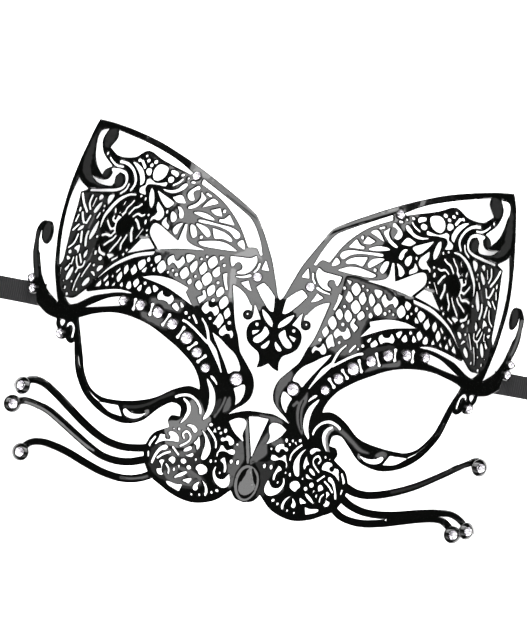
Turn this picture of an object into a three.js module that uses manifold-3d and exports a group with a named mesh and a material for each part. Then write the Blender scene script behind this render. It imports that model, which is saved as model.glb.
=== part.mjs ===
// Metal cat mask: a pierced sheet of black painted metal, bent round the face and set with clear crystals.
// It lies on its back: X runs to the right as seen from the front, Y up towards the ears, and Z out of the
// front. All sizes are in millimetres. Outlines are drawn as seen straight from the front, for the half at
// the left of the picture, with X counted outwards from the middle, and then mirrored.

import * as THREE from 'three';
import { mergeVertices } from 'three/addons/utils/BufferGeometryUtils.js';
import Module from 'manifold-3d';

// Driving dimensions
const SHEET_THICKNESS = 1.0;
const ARCH_HALF_WIDTH = 103.5;
const ARCH_HEIGHT = 42.0;
const NOSE_RISE = 12.0;
const NOSE_CENTRE_Y = -78.0;
const NOSE_SPREAD_X = 16.0;
const NOSE_SPREAD_Y = 26.0;
const BROW_CREASE_SLOPE = 0.3;
const BROW_CREASE_REACH_X = 50.0;
const EAR_LEAN_SLOPE = 0.075;
const EAR_LEAN_CURVE = 0.00121;
const WHISKER_DROP_START_X = 58.0;
const WHISKER_DROP_REACH = 30.0;
const TEMPLE_LIFT = 1.6;
const ORIGIN_SHIFT_Y = 12.9;
const LONGEST_BENT_EDGE = 19.0;
const OUTLINE_STEP = 5.2;
const HOLE_STEP = 4.6;
const CRYSTAL_FACETS = 8;
const CRYSTAL_SEAT_GAP = 0.3;
const CRYSTAL_HEIGHT_RATIO = 0.72;
const CRYSTAL_TABLE_RATIO = 0.55;
const CRYSTAL_GIRDLE_RATIO = 0.25;
const RIBBON_WIDTH = 9.5;
const RIBBON_THICKNESS = 0.35;
const RIBBON_START_X = 92.0;
const RIBBON_END_X = 150.0;
const RIBBON_Y = -18.4;
const RIBBON_DEPTH_UNDER_FRONT = 2.2;
const RIBBON_SEGMENTS = 26;
const METAL_EDGE_X = 105.0;
const COIL_CENTRE_X = 158.0;
const COIL_CENTRE_Y = 10.0;
const COIL_OUTER_RADIUS = 28.8;
const COIL_INNER_RADIUS = 17.8;
const COIL_SEGMENTS = 28;

const BLACK_PAINT = { color: 0x0b0b0c, roughness: 0.3, metalness: 0.25 };
const CRYSTAL = { color: 0xeef0f6, roughness: 0.05, metalness: 0.0 };
const RIBBON_CLOTH = { color: 0x101011, roughness: 0.85, metalness: 0.0 };

const SIDES = [
  { name: 'left', sign: -1 },
  { name: 'right', sign: 1 },
];

// The two halves aren't bent quite alike. Each entry moves the right half's outline smoothly about a centre.
const RIGHT_HALF_BENDS = [
  { centre: [88, 60], reach: [16, 20], move: [3.2, 1.6] },
  { centre: [68, 28], reach: [16, 24], move: [2.4, 1.0] },
  { centre: [84, -22], reach: [14, 12], move: [1.2, 0.4] },
  { centre: [40, -72], reach: [9, 12], move: [-1.6, -0.9] },
  { centre: [17, -76], reach: [9, 16], move: [1.2, 0.2] },
];

// Edge of the metal on one half, from the notch between the ears to the bottom of the nose.
// A third value of 1 marks a sharp corner, and the run between two corners is one smooth curve.
const HALF_EDGE = [
  [0, -0.3, 1], [3.3, 7.2], [6.1, 14.6], [12.3, 26.4], [17.8, 33], [30, 40.2], [50, 50.3], [70, 57.4],
  [86.8, 60.2, 1], [90.3, 47.5], [93.4, 33.5], [95.2, 20], [95.1, 6.5], [93.3, -6],
  [89.4, -19.2, 1], [95, -13.8], [99.4, -5], [101.7, 5], [101.9, 7.5, 1], [104.5, 7.5, 1], [104.4, 0],
  [102.6, -8], [100, -15], [98.4, -20.8, 1], [93, -24.3], [87, -25.4, 1], [80.3, -25.3, 1],
  [79, -37], [75.4, -47.8], [68.5, -56], [60, -60.2], [53, -61.4], [46.5, -59], [40, -52.8], [35.2, -49.6],
  [31.6, -50.6], [31, -54.6, 1], [34.6, -54.9], [35.2, -57.6], [34.5, -59.6, 1], [40.4, -63.5], [43.2, -70, 1],
  [41.5, -77], [36.5, -82.8], [28, -86.7], [20, -87.6], [12, -84.8], [5.9, -78.9, 1], [3.6, -81.9], [0, -82.9, 1],
];

// Openings cut through each half
const HALF_HOLES = {
  eye: [
    [25, -42.8, 1], [27, -36.5], [33, -29.8], [41, -24.3], [50, -20.3], [60, -17.9], [68, -18.2], [79.2, -23.6, 1],
    [78, -34], [74.3, -45.5], [69.5, -51.8], [62, -53.7], [52, -52.5], [43, -49.3], [35, -44], [29.5, -41.8],
  ],
  outer_ear_gap: [
    [43.8, 44, 1], [52, 49], [64, 53.4], [78.3, 57.1, 1], [78, 54], [80.6, 48.5, 1], [76, 45.4], [69, 46.2],
    [64, 49.9], [57, 47], [45, 42.7, 1],
  ],
  inner_ear_gap: [
    [10.3, 15.6, 1], [12.6, 21.8], [17.2, 29], [22, 32.3], [39, 41.7, 1], [40, 40.3, 1], [30, 34.5], [22, 26.5],
    [16.6, 17.8, 1], [13, 18], [11.2, 15.4, 1],
  ],
  tip_crescent: [
    [81.8, 57, 1], [85.6, 55.4], [86.4, 48], [84.6, 41], [81.4, 36.8, 1], [80.4, 39.4], [77.8, 41.1, 1], [82.2, 46],
    [83.4, 51.8],
  ],
  side_gap: [
    [91.4, 35, 1], [93.6, 25], [94.3, 12], [93.4, 0], [92.4, -4.2, 1], [90.6, 4], [90.2, 17], [89, 28.8, 1],
    [86, 30.2, 1], [89.4, 32.6],
  ],
  tip_hook: [[70.8, 38.6], [72.4, 33.4, 1], [80, 33.4], [86.2, 36.4, 1], [80, 34.8], [76.4, 35.6, 1], [77, 39.8, 1]],
  ear_wedge: [
    [33.6, 13.4, 1], [41.4, 16], [42.6, 22.7, 1], [43.6, 22.7, 1], [45.2, 15.3, 1], [56, 20.8], [57.4, 17],
    [52.6, 10.3, 1], [44, 12.2],
  ],
  panel_corner: [[54, 10.6, 1], [57, 14.2, 1], [60.4, 13.4, 1], [65, 6.6, 1], [59, 8.9]],
  long_slot: [[53.6, 9.4, 1], [62, 6.8], [70, 1], [77, -8, 1], [69.5, 0], [61, 5.6], [54, 8, 1]],
  brow_sliver: [[37.4, -2.9, 1], [45, -0.6], [52, -0.5], [57, -1.8, 1], [46, -4.2], [34.4, -9.8, 1], [38.2, -4.8, 1]],
  outer_brow_gap: [
    [59.3, -9.2, 1], [66, -8.8], [78.6, -12, 1], [79.4, -11, 1], [84, -15.6], [87.5, -15.8, 1], [84.6, -18.4],
    [76, -14.8],
  ],
  inner_brow_gap: [[63.5, -11.2, 1], [70, -12.8], [79, -19.2, 1], [71, -17.4], [63.5, -15.4, 1]],
  temple_sliver: [[24.4, -18.4, 1], [14, -25.2], [10.6, -31.4, 1], [15.2, -34.2, 1], [19.4, -26.6]],
  nose_side_drop: [[7.6, -37.4, 1], [11.6, -39, 1], [10, -45.2, 1], [7.6, -42]],
  notch_side: [[2.3, 0, 1], [2, -6.5, 1], [10.3, 2.8, 1], [7.8, 4.8, 1]],
  forehead: [
    [12.3, 15, 1], [14.6, 13.9], [22.6, 13.3, 1], [22, 8.6, 1], [19, 11], [17.6, 9], [19.4, 7, 1], [13.4, 9.4],
  ],
  nose_side: [[4.4, -50.8, 1], [11.9, -51.9, 1], [3.8, -60, 1], [4.7, -55]],
  muzzle_leaf: [[17.4, -60], [20.5, -58, 1], [18.8, -64], [19.6, -70.2, 1], [16.4, -68]],
  eye_rim: [[56.6, -55.2, 1], [65.4, -55.4, 1], [60, -58.6], [54.2, -59.4, 1]],
};

// The open middle between the star and the nose, drawn for one half and closed by its mirror image
const MIDDLE_OPENING = [
  [0, -46.3, 1], [8.6, -47.9], [12.9, -50.2, 1], [9, -46.5], [4.8, -42], [4.1, -37], [8, -29], [14, -21], [18.3, -5],
  [19.8, 1.9, 1], [13.6, -1], [10.3, -7, 1], [9, -9.8], [10.9, -15], [7.6, -21], [4.4, -25], [4.3, -29.3, 1],
  [0, -26.7, 1],
];
const NOSE_TOP_OPENING = [[0, -48.6, 1], [3.9, -49.2, 1], [2.4, -55], [0, -65, 1]];

// Whiskers: middle line of each, with its width from root to tip, and the cup at its end
const WHISKERS = {
  left: [
    { line: [[40, -69], [47, -71.2], [57, -70.8], [70, -64.8], [83, -56.3], [92, -52.4], [97, -54]], cup: [98.8, -55.8] },
    { line: [[40, -74.4], [47, -77], [58, -77], [70, -71.5], [84, -63.5], [93, -61], [98, -62.4]], cup: [101, -64.2] },
    { line: [[36, -80], [42, -82.8], [52, -84.2], [65, -81.5], [78, -77.5], [87, -77.2], [91.5, -79.8]], cup: [94, -83] },
  ],
  right: [
    { line: [[38, -69], [45, -72.3], [57, -71.3], [72, -64], [86, -55.5], [93, -52], [97, -52]], cup: [98.4, -54.2] },
    { line: [[38, -74.4], [44, -78], [56, -79.4], [70, -76.4], [85, -74.2], [92, -76.2], [95, -79]], cup: [97, -81.7] },
    { line: [[35, -80], [42, -83.5], [53, -84.6], [66, -81.4], [77, -79.6], [84, -79.6], [88.5, -81.5]], cup: [91, -84.6] },
  ],
};
const WHISKER_ROOT_WIDTH = 2.9;
const WHISKER_TIP_WIDTH = 2.1;
const WHISKER_CUP_RADIUS = 2.9;
const SCROLL_HEAD = { centre: [99.8, 9.4], radii: [2.2, 5.0] };
const SCROLL_ARCH = { line: [[103.2, 6.5], [103, 10], [101.4, 13.1], [99.8, 12.6]], width: 2.4 };
const TEMPLE_DROPS = {
  hook: { line: [[81.4, -24.6], [80.9, -29], [81.4, -33], [83, -31.4], [82.8, -28.8]], width: 1.5 },
  stem: { line: [[88, -24.8], [87.6, -27.6], [86.2, -29.6]], width: 1.4 },
};
const STONE_SEATS = [
  { centre: [103, -10.6], radius: 2.2 },
  { centre: [101.9, -14.8], radius: 2.4 },
  { centre: [86, -31], radius: 2.4 },
];

// Crystals on each half: place and radius
const CRYSTALS = {
  brow: [
    [62.2, -13, 1.75], [54.9, -13.5, 1.95], [47.3, -15, 2.1], [40.7, -18.5, 2.05], [34, -22.9, 2.3],
    [28.9, -27.9, 2.1], [24.4, -33.4, 1.9],
  ],
  ear: [[42.2, 42.7, 1.7]],
  forehead: [[10.6, 6.5, 1.7]],
  nose: [[11.3, -35.6, 2.3]],
  scroll: [[103, -10.6, 1.5], [101.9, -14.8, 1.7]],
  temple: [[86, -31, 1.7]],
};
const WHISKER_CRYSTAL_RADIUS = 2.1;

function smoothStep(value) {
  const t = Math.min(1, Math.max(0, value));
  return t * t * (3 - 2 * t);
}

/** Height of the metal's front face above the surface that the mask lies on. */
function frontHeight(x, y) {
  const arch = ARCH_HEIGHT * (1 - (x / ARCH_HALF_WIDTH) ** 2);
  const nose = NOSE_RISE * Math.exp(-((x / NOSE_SPREAD_X) ** 2) - ((y - NOSE_CENTRE_Y) / NOSE_SPREAD_Y) ** 2);
  const aboveCrease = Math.max(0, y + BROW_CREASE_SLOPE * Math.min(Math.abs(x), BROW_CREASE_REACH_X));
  const lean = EAR_LEAN_SLOPE * aboveCrease + EAR_LEAN_CURVE * aboveCrease ** 2;
  const reach = Math.min(1, Math.max(0, (Math.abs(x) - WHISKER_DROP_START_X) / WHISKER_DROP_REACH));
  const whisker = 1 - smoothStep((-y - 42) / 11) * reach * reach;
  const lift = TEMPLE_LIFT * smoothStep((-y - 5) / 5) * smoothStep((y + 34) / 8) * smoothStep((Math.abs(x) - 92) / 8);
  return SHEET_THICKNESS + Math.max(0, arch + nose - lean) * whisker + lift;
}

/** Direction that the front face looks in. */
function frontNormal(x, y) {
  const step = 0.5;
  const slopeX = (frontHeight(x + step, y) - frontHeight(x - step, y)) / (2 * step);
  const slopeY = (frontHeight(x, y + step) - frontHeight(x, y - step)) / (2 * step);
  return new THREE.Vector3(-slopeX, -slopeY, 1).normalize();
}

/** Place of an outline point on one half, with the right half's own bends. */
function placeOnSide(x, y, side) {
  if (side.sign < 0) {
    return new THREE.Vector2(-x, y);
  }
  const placed = new THREE.Vector2(x, y);
  for (const bend of RIGHT_HALF_BENDS) {
    const dx = (x - bend.centre[0]) / bend.reach[0];
    const dy = (y - bend.centre[1]) / bend.reach[1];
    const weight = Math.exp(-dx * dx - dy * dy);
    placed.x += bend.move[0] * weight;
    placed.y += bend.move[1] * weight;
  }
  return placed;
}

/** Points at even steps along the smooth curve through a run of points. */
function sampleRun(run, step) {
  const curve = new THREE.SplineCurve(run.map(([x, y]) => new THREE.Vector2(x, y)));
  const count = run.length === 2 ? 1 : Math.max(2, Math.round(curve.getLength() / step));
  return curve.getSpacedPoints(count);
}

/** Outline through points, smooth between those marked as corners. */
function sampleOutline(points, step, closed) {
  const first = Math.max(0, points.findIndex((point) => point[2] === 1));
  const ring = [...points.slice(first), ...points.slice(0, first)];
  if (closed) {
    ring.push(ring[0]);
  }
  const outline = [];
  let run = [ring[0]];
  for (const point of ring.slice(1)) {
    run.push(point);
    if (point[2] === 1 || point === ring.at(-1)) {
      outline.push(...sampleRun(run, step).slice(0, -1));
      run = [point];
    }
  }
  if (!closed) {
    outline.push(new THREE.Vector2(ring.at(-1)[0], ring.at(-1)[1]));
  }
  return outline;
}

/** Both halves of an outline that starts and ends on the middle line, as one loop. */
function mirroredLoop(points, step) {
  const half = sampleOutline(points, step, false);
  const right = half.map((point) => placeOnSide(point.x, point.y, SIDES[1]));
  const left = half.map((point) => placeOnSide(point.x, point.y, SIDES[0]));
  const loop = [...right, ...left.slice(1, -1).reverse()];
  loop[0].x = 0;
  loop[right.length - 1].x = 0;
  return loop;
}

/** Outline of a band of changing width along a smooth line. */
function bandLoop(line, startWidth, endWidth, step) {
  const curve = new THREE.SplineCurve(line.map(([x, y]) => new THREE.Vector2(x, y)));
  const count = Math.max(4, Math.round(curve.getLength() / step));
  const outer = [];
  const inner = [];
  for (let i = 0; i <= count; i += 1) {
    const point = curve.getPointAt(i / count);
    const tangent = curve.getTangentAt(i / count);
    const half = THREE.MathUtils.lerp(startWidth, endWidth, i / count) / 2;
    const across = new THREE.Vector2(-tangent.y, tangent.x).multiplyScalar(half);
    outer.push(point.clone().add(across));
    inner.push(point.clone().sub(across));
  }
  return [...outer, ...inner.reverse()];
}

function ellipseLoop(centre, radii, count) {
  const loop = [];
  for (let i = 0; i < count; i += 1) {
    const angle = (2 * Math.PI * i) / count;
    loop.push(new THREE.Vector2(centre[0] + radii[0] * Math.cos(angle), centre[1] + radii[1] * Math.sin(angle)));
  }
  return loop;
}

/** Closed solid of the library that joins and cuts, from a three.js geometry. */
function toSolid(library, geometry) {
  const bare = geometry.clone();
  bare.deleteAttribute('normal');
  bare.deleteAttribute('uv');
  const merged = mergeVertices(bare, 1e-4);
  const mesh = new library.Mesh({
    numProp: 3,
    vertProperties: new Float32Array(merged.attributes.position.array),
    triVerts: new Uint32Array(merged.index.array),
  });
  return new library.Manifold(mesh);
}

/** Flat slab under a loop, from one height to another. */
function slab(library, loop, low, high) {
  const shape = new THREE.Shape(THREE.ShapeUtils.isClockWise(loop) ? [...loop].reverse() : loop);
  const geometry = new THREE.ExtrudeGeometry(shape, { depth: high - low, bevelEnabled: false, steps: 1 });
  geometry.translate(0, 0, low);
  return toSolid(library, geometry);
}

/** Loops of metal that are joined to the main outline on one half. */
function addedLoops(side) {
  const onSide = (loop) => loop.map((point) => placeOnSide(point.x, point.y, side));
  const loops = [
    onSide(bandLoop(SCROLL_ARCH.line, SCROLL_ARCH.width, SCROLL_ARCH.width, 1.6)),
    onSide(ellipseLoop(SCROLL_HEAD.centre, SCROLL_HEAD.radii, 14)),
  ];
  for (const drop of Object.values(TEMPLE_DROPS)) {
    loops.push(onSide(bandLoop(drop.line, drop.width, drop.width, 1.8)));
  }
  for (const seat of STONE_SEATS) {
    loops.push(onSide(ellipseLoop(seat.centre, [seat.radius, seat.radius], 12)));
  }
  for (const whisker of WHISKERS[side.name]) {
    const band = bandLoop([...whisker.line, whisker.cup], WHISKER_ROOT_WIDTH, WHISKER_TIP_WIDTH, 5.5);
    loops.push(band.map((point) => new THREE.Vector2(side.sign * point.x, point.y)));
    const cup = ellipseLoop(whisker.cup, [WHISKER_CUP_RADIUS, WHISKER_CUP_RADIUS], 12);
    loops.push(cup.map((point) => new THREE.Vector2(side.sign * point.x, point.y)));
  }
  return loops;
}

/** The whole sheet, cut but still flat. */
function flatSheet(library) {
  let sheet = slab(library, mirroredLoop(HALF_EDGE, OUTLINE_STEP), 0, 1);
  for (const side of SIDES) {
    for (const loop of addedLoops(side)) {
      sheet = sheet.add(slab(library, loop, 0, 1));
    }
    for (const points of Object.values(HALF_HOLES)) {
      const hole = sampleOutline(points, HOLE_STEP, true).map((point) => placeOnSide(point.x, point.y, side));
      sheet = sheet.subtract(slab(library, hole, -1, 2));
    }
  }
  for (const points of [MIDDLE_OPENING, NOSE_TOP_OPENING]) {
    sheet = sheet.subtract(slab(library, mirroredLoop(points, HOLE_STEP), -1, 2));
  }
  return sheet.getMesh();
}

/** Splits every triangle edge longer than the limit at its middle, in both triangles that share it. */
function splitLongEdges(points, triangles, limit) {
  const middles = new Map();
  const middleOf = (a, b) => {
    const key = a < b ? `${a}_${b}` : `${b}_${a}`;
    if (!middles.has(key)) {
      middles.set(key, points.push(points[a].clone().add(points[b]).multiplyScalar(0.5)) - 1);
    }
    return middles.get(key);
  };
  const isLong = (a, b) => Math.hypot(points[a].x - points[b].x, points[a].y - points[b].y) > limit;
  let current = triangles;
  for (let again = true; again; ) {
    again = false;
    const next = [];
    for (const corners of current) {
      const start = longestLongEdge(corners, points, isLong);
      if (start < 0) {
        next.push(corners);
        continue;
      }
      again = true;
      next.push(...splitTriangle(corners, isLong, middleOf));
    }
    current = next;
    middles.clear();
  }
  return current;
}

function longestLongEdge(corners, points, isLong) {
  return [0, 1, 2].find((i) => isLong(corners[i], corners[(i + 1) % 3])) ?? -1;
}

/** The two, three or four triangles that a triangle becomes when its long edges are halved. */
function splitTriangle(corners, isLong, middleOf) {
  const long = [0, 1, 2].map((i) => isLong(corners[i], corners[(i + 1) % 3]));
  const count = long.filter(Boolean).length;
  if (count === 3) {
    const [a, b, c] = corners;
    const ab = middleOf(a, b);
    const bc = middleOf(b, c);
    const ca = middleOf(c, a);
    return [[a, ab, ca], [ab, b, bc], [ca, bc, c], [ab, bc, ca]];
  }
  const turn = count === 1 ? long.indexOf(true) : (long.indexOf(false) + 1) % 3;
  const [a, b, c] = [0, 1, 2].map((i) => corners[(turn + i) % 3]);
  const ab = middleOf(a, b);
  if (count === 1) {
    return [[a, ab, c], [ab, b, c]];
  }
  const bc = middleOf(b, c);
  return [[ab, b, bc], [a, ab, bc], [a, bc, c]];
}

/** The cut sheet bent round the face. */
function plateGeometry(library) {
  const mesh = flatSheet(library);
  const points = [];
  for (let i = 0; i < mesh.vertProperties.length; i += mesh.numProp) {
    points.push(new THREE.Vector3(...mesh.vertProperties.slice(i, i + 3)));
  }
  const triangles = [];
  for (let i = 0; i < mesh.triVerts.length; i += 3) {
    triangles.push([...mesh.triVerts.slice(i, i + 3)]);
  }
  const split = splitLongEdges(points, triangles, LONGEST_BENT_EDGE);
  const bent = points.map((point) => {
    const depth = SHEET_THICKNESS * (1 - point.z);
    const place = new THREE.Vector3(point.x, point.y, frontHeight(point.x, point.y));
    return place.addScaledVector(frontNormal(point.x, point.y), -depth);
  });
  const geometry = new THREE.BufferGeometry().setFromPoints(bent);
  geometry.setIndex(split.flat());
  geometry.computeVertexNormals();
  return geometry;
}

/** A round stone with a flat back, a sloping crown and a flat table. */
function crystalGeometry(radius) {
  const height = CRYSTAL_HEIGHT_RATIO * radius;
  const profile = [
    new THREE.Vector2(0, 0),
    new THREE.Vector2(radius, 0),
    new THREE.Vector2(radius, CRYSTAL_GIRDLE_RATIO * radius),
    new THREE.Vector2(CRYSTAL_TABLE_RATIO * radius, height),
    new THREE.Vector2(0, height),
  ];
  const geometry = new THREE.LatheGeometry(profile, CRYSTAL_FACETS);
  geometry.rotateX(Math.PI / 2);
  return geometry;
}

function makeMesh(name, geometry, look) {
  const mesh = new THREE.Mesh(geometry, new THREE.MeshStandardMaterial(look));
  mesh.name = name;
  return mesh;
}

/** How far the bent metal rises under a stone's flat back, measured along the normal at its centre. */
function seatRise(place, radius, normal) {
  const centreHeight = frontHeight(place.x, place.y);
  const rises = ellipseLoop([place.x, place.y], [radius, radius], 16).map((edge) => {
    const up = frontHeight(edge.x, edge.y) - centreHeight;
    return new THREE.Vector3(edge.x - place.x, edge.y - place.y, up).dot(normal);
  });
  return Math.max(0, ...rises);
}

/** One crystal, glued a little above the front face and square to it. */
function crystalMesh(name, place, radius) {
  const mesh = makeMesh(name, crystalGeometry(radius), CRYSTAL);
  const normal = frontNormal(place.x, place.y);
  const clearance = CRYSTAL_SEAT_GAP + seatRise(place, radius, normal);
  mesh.position.set(place.x, place.y, frontHeight(place.x, place.y));
  mesh.position.addScaledVector(normal, clearance);
  mesh.quaternion.setFromUnitVectors(new THREE.Vector3(0, 0, 1), normal);
  return mesh;
}

function crystalMeshes(side) {
  const meshes = [];
  for (const [area, stones] of Object.entries(CRYSTALS)) {
    stones.forEach(([x, y, radius], index) => {
      const suffix = stones.length > 1 ? `_${index + 1}` : '';
      meshes.push(crystalMesh(`${side.name}_${area}_crystal${suffix}`, placeOnSide(x, y, side), radius));
    });
  }
  WHISKERS[side.name].forEach((whisker, index) => {
    const place = new THREE.Vector2(side.sign * whisker.cup[0], whisker.cup[1]);
    meshes.push(crystalMesh(`${side.name}_whisker_crystal_${index + 1}`, place, WHISKER_CRYSTAL_RADIUS));
  });
  return meshes;
}

/** Height of the ribbon's middle line: close under the metal, down to the surface, then up on its edge. */
function ribbonHeight(x, turn) {
  const under = frontHeight(Math.min(x, METAL_EDGE_X), RIBBON_Y) - RIBBON_DEPTH_UNDER_FRONT;
  const onSurface = RIBBON_THICKNESS / 2;
  const fall = smoothStep((x - METAL_EDGE_X) / 8);
  const lying = THREE.MathUtils.lerp(under, onSurface, fall);
  const halfHeight = (RIBBON_WIDTH * Math.sin(turn) + RIBBON_THICKNESS * Math.cos(turn)) / 2;
  return Math.max(lying, halfHeight);
}

/** The ribbon from behind the temple to its coil: flat at first, turning to stand on its edge. */
function ribbonGeometry(side) {
  const length = RIBBON_END_X - RIBBON_START_X;
  const geometry = new THREE.BoxGeometry(length, RIBBON_WIDTH, RIBBON_THICKNESS, RIBBON_SEGMENTS, 1, 1);
  const positions = geometry.attributes.position;
  for (let i = 0; i < positions.count; i += 1) {
    const x = RIBBON_START_X + length / 2 + positions.getX(i);
    const turn = (Math.PI / 2) * smoothStep((x - 112) / 32);
    const across = positions.getY(i);
    const through = positions.getZ(i);
    const y = RIBBON_Y + across * Math.cos(turn) - through * Math.sin(turn);
    const z = ribbonHeight(x, turn) + across * Math.sin(turn) + through * Math.cos(turn);
    positions.setXYZ(i, side.sign * x, y, z);
  }
  if (side.sign < 0) {
    const index = geometry.index.array;
    for (let i = 0; i < index.length; i += 3) {
      [index[i], index[i + 1]] = [index[i + 1], index[i]];
    }
  }
  geometry.computeVertexNormals();
  return geometry;
}

/** Outer shape of the rest of the ribbon, wound round and standing on its edge. */
function coilGeometry(side) {
  const profile = [
    new THREE.Vector2(COIL_INNER_RADIUS, 0),
    new THREE.Vector2(COIL_OUTER_RADIUS, 0),
    new THREE.Vector2(COIL_OUTER_RADIUS, RIBBON_WIDTH),
    new THREE.Vector2(COIL_INNER_RADIUS, RIBBON_WIDTH),
    new THREE.Vector2(COIL_INNER_RADIUS, 0),
  ];
  const geometry = new THREE.LatheGeometry(profile, COIL_SEGMENTS);
  geometry.rotateX(Math.PI / 2);
  geometry.translate(side.sign * COIL_CENTRE_X, COIL_CENTRE_Y, 0);
  return geometry;
}

async function buildMask() {
  const library = await Module();
  library.setup();
  const mask = new THREE.Group();
  mask.add(makeMesh('mask_plate', plateGeometry(library), BLACK_PAINT));
  for (const side of SIDES) {
    mask.add(...crystalMeshes(side));
    mask.add(makeMesh(`${side.name}_ribbon`, ribbonGeometry(side), RIBBON_CLOTH));
    mask.add(makeMesh(`${side.name}_ribbon_coil`, coilGeometry(side), RIBBON_CLOTH));
  }
  mask.position.y = ORIGIN_SHIFT_Y;
  return mask;
}

export default await buildMask();
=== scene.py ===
"""Metal cat mask: black painted sheet metal cut through all over, bent round the face
and set with clear crystals, with a ribbon at each temple.

Outlines are drawn in millimetres as seen from the front, with the notch between the ears at (0, 0), X to the
right and Y up. The finished meshes are in metres in the record's frame, lying on the back.
"""

import logging
import math
from dataclasses import dataclass, field
from enum import Enum
from typing import ClassVar

import bpy
import numpy as np
from mathutils import Matrix
from mathutils.geometry import delaunay_2d_cdt


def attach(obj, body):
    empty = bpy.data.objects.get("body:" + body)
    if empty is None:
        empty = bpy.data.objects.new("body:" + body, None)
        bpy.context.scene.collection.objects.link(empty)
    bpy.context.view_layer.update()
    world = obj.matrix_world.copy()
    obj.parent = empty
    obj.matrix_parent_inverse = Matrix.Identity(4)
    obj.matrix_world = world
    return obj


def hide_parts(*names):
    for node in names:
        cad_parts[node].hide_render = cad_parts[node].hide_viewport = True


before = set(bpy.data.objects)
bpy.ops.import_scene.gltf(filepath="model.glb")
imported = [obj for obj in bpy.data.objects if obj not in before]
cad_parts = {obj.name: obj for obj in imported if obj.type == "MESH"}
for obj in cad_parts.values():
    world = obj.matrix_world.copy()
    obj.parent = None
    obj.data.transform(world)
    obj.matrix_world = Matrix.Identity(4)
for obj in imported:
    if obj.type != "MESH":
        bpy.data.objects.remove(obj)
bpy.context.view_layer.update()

logging.basicConfig(level=logging.INFO, format="%(message)s")
LOG = logging.getLogger("cat_mask")

MM = 0.001
ROUND_POINTS = 40
END_POINTS = 9


class Side(Enum):
    """Half of the mask, with its direction along X."""

    LEFT = -1
    RIGHT = 1

    @property
    def label(self) -> str:
        """Name of the side as the CAD nodes have it: left or right."""
        return self.name.lower()


class Slot(Enum):
    """Material slots of the record."""

    PAINT = "black_paint"
    CRYSTAL = "crystal"
    RIBBON = "ribbon"


class Tone(Enum):
    """What the paint mirrors on a shallow wave in the sheet, as the wave's slopes along X and Y.

    GLINT also turns the bevel that way.
    """

    GLINT = (0.0, -0.33)
    BRIGHT = (0.0, -0.32)
    LIGHT = (0.0, -0.2)
    GREY = (0.0, 0.42)
    DIM = (0.0, 0.22)
    BLACK = (0.0, 0.04)


@dataclass(frozen=True)
class Wave:
    """A shallow wave in the sheet: its tone, the width of its soft border, its halves and its shape."""

    tone: Tone
    softness: float
    sides: tuple[Side, ...]
    shape: tuple


@dataclass(frozen=True)
class MaskSizes:
    """Real sizes of the bent sheet, in millimetres."""

    sheet_thickness: float = 1.0
    arch_half_width: float = 103.5
    arch_height: float = 42.0
    nose_rise: float = 12.0
    nose_centre_y: float = -78.0
    nose_spread_x: float = 16.0
    nose_spread_y: float = 26.0
    brow_crease_slope: float = 0.3
    brow_crease_reach_x: float = 50.0
    ear_lean_slope: float = 0.075
    ear_lean_curve: float = 0.00121
    ear_lean_start_y: float = -10.0
    crease_softness: float = 0.6
    whisker_drop_start_x: float = 58.0
    whisker_drop_reach: float = 30.0
    whisker_drop_start_y: float = -42.0
    whisker_drop_rise: float = 11.0
    temple_lift: float = 1.6
    temple_top_y: float = -5.0
    temple_top_fade: float = 5.0
    temple_low_y: float = -34.0
    temple_start_x: float = 92.0
    temple_fade: float = 8.0
    origin_shift_y: float = 12.9
    edge_bevel: float = 0.45
    bevel_fall: float = 0.75
    shallowest_bevel: float = 0.62
    steepest_bevel: float = 0.85
    bevel_share: float = 0.8
    least_bevel: float = 0.06
    relief_height: float = 0.35
    relief_slope: float = 0.5


@dataclass(frozen=True)
class PatternSizes:
    """Fineness of the cut pattern and of the mesh made from it, in millimetres, grid cells and counts."""

    half_width: float = 107.0
    low_y: float = -91.0
    high_y: float = 64.0
    overlap: float = 1.0
    cell: float = 0.1
    line_step: float = 0.35
    chord_error: float = 0.008
    longest_step: float = 0.9
    shortest_step: float = 0.2
    inner_step: float = 1.0
    inner_margin_cells: int = 6
    border_margin_cells: int = 5
    border_step: float = 0.55
    border_gap_cells: int = 4
    border_spread: float = 0.6
    smallest_area: float = 0.12
    bend_reach: int = 4
    least_turn: float = 0.001
    smoothings: int = 3
    step_smoothings: int = 6
    fewest_points: int = 8
    merge_gap: float = 0.000001
    finest_soft_border: float = 1.2
    paint_gain: float = 0.24
    paint_top_y: float = 0.0
    paint_rise: float = 14.0
    thin_areas: tuple = (((67.0, 91.0), (-14.0, 32.0), -0.17), ((22.0, 64.0), (-9.0, 13.0), -0.12))
    thin_fade: float = 5.0


@dataclass(frozen=True)
class CrystalSizes:
    """Proportions of a stone and its cup, in millimetres.

    Height, table, kite, girdle and the cup's height are shares of the stone's radius. The cup's rim is given
    as places outwards and down, in shares of its wall.
    """

    seat_gap: float = 0.3
    height: float = 0.72
    table: float = 0.52
    kite: float = 0.8
    girdle_low: float = 0.18
    girdle_high: float = 0.32
    mains: int = 8
    clearance: float = 0.03
    cup_wall: float = 0.36
    cup_height: float = 0.42
    cup_sides: int = 40
    cup_rim: tuple = ((1.0, 0.75), (0.95, 0.68), (0.3, 0.16), (0.1, 0.1))
    cup_inner_drop: float = 0.25
    whisker_radius: float = 1.9
    whisker_cup_radius: float = 3.7
    whisker_disc_radius: float = 3.2
    cup_depth: float = 0.35
    whisker_cup_depth: float = 1.2


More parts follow.
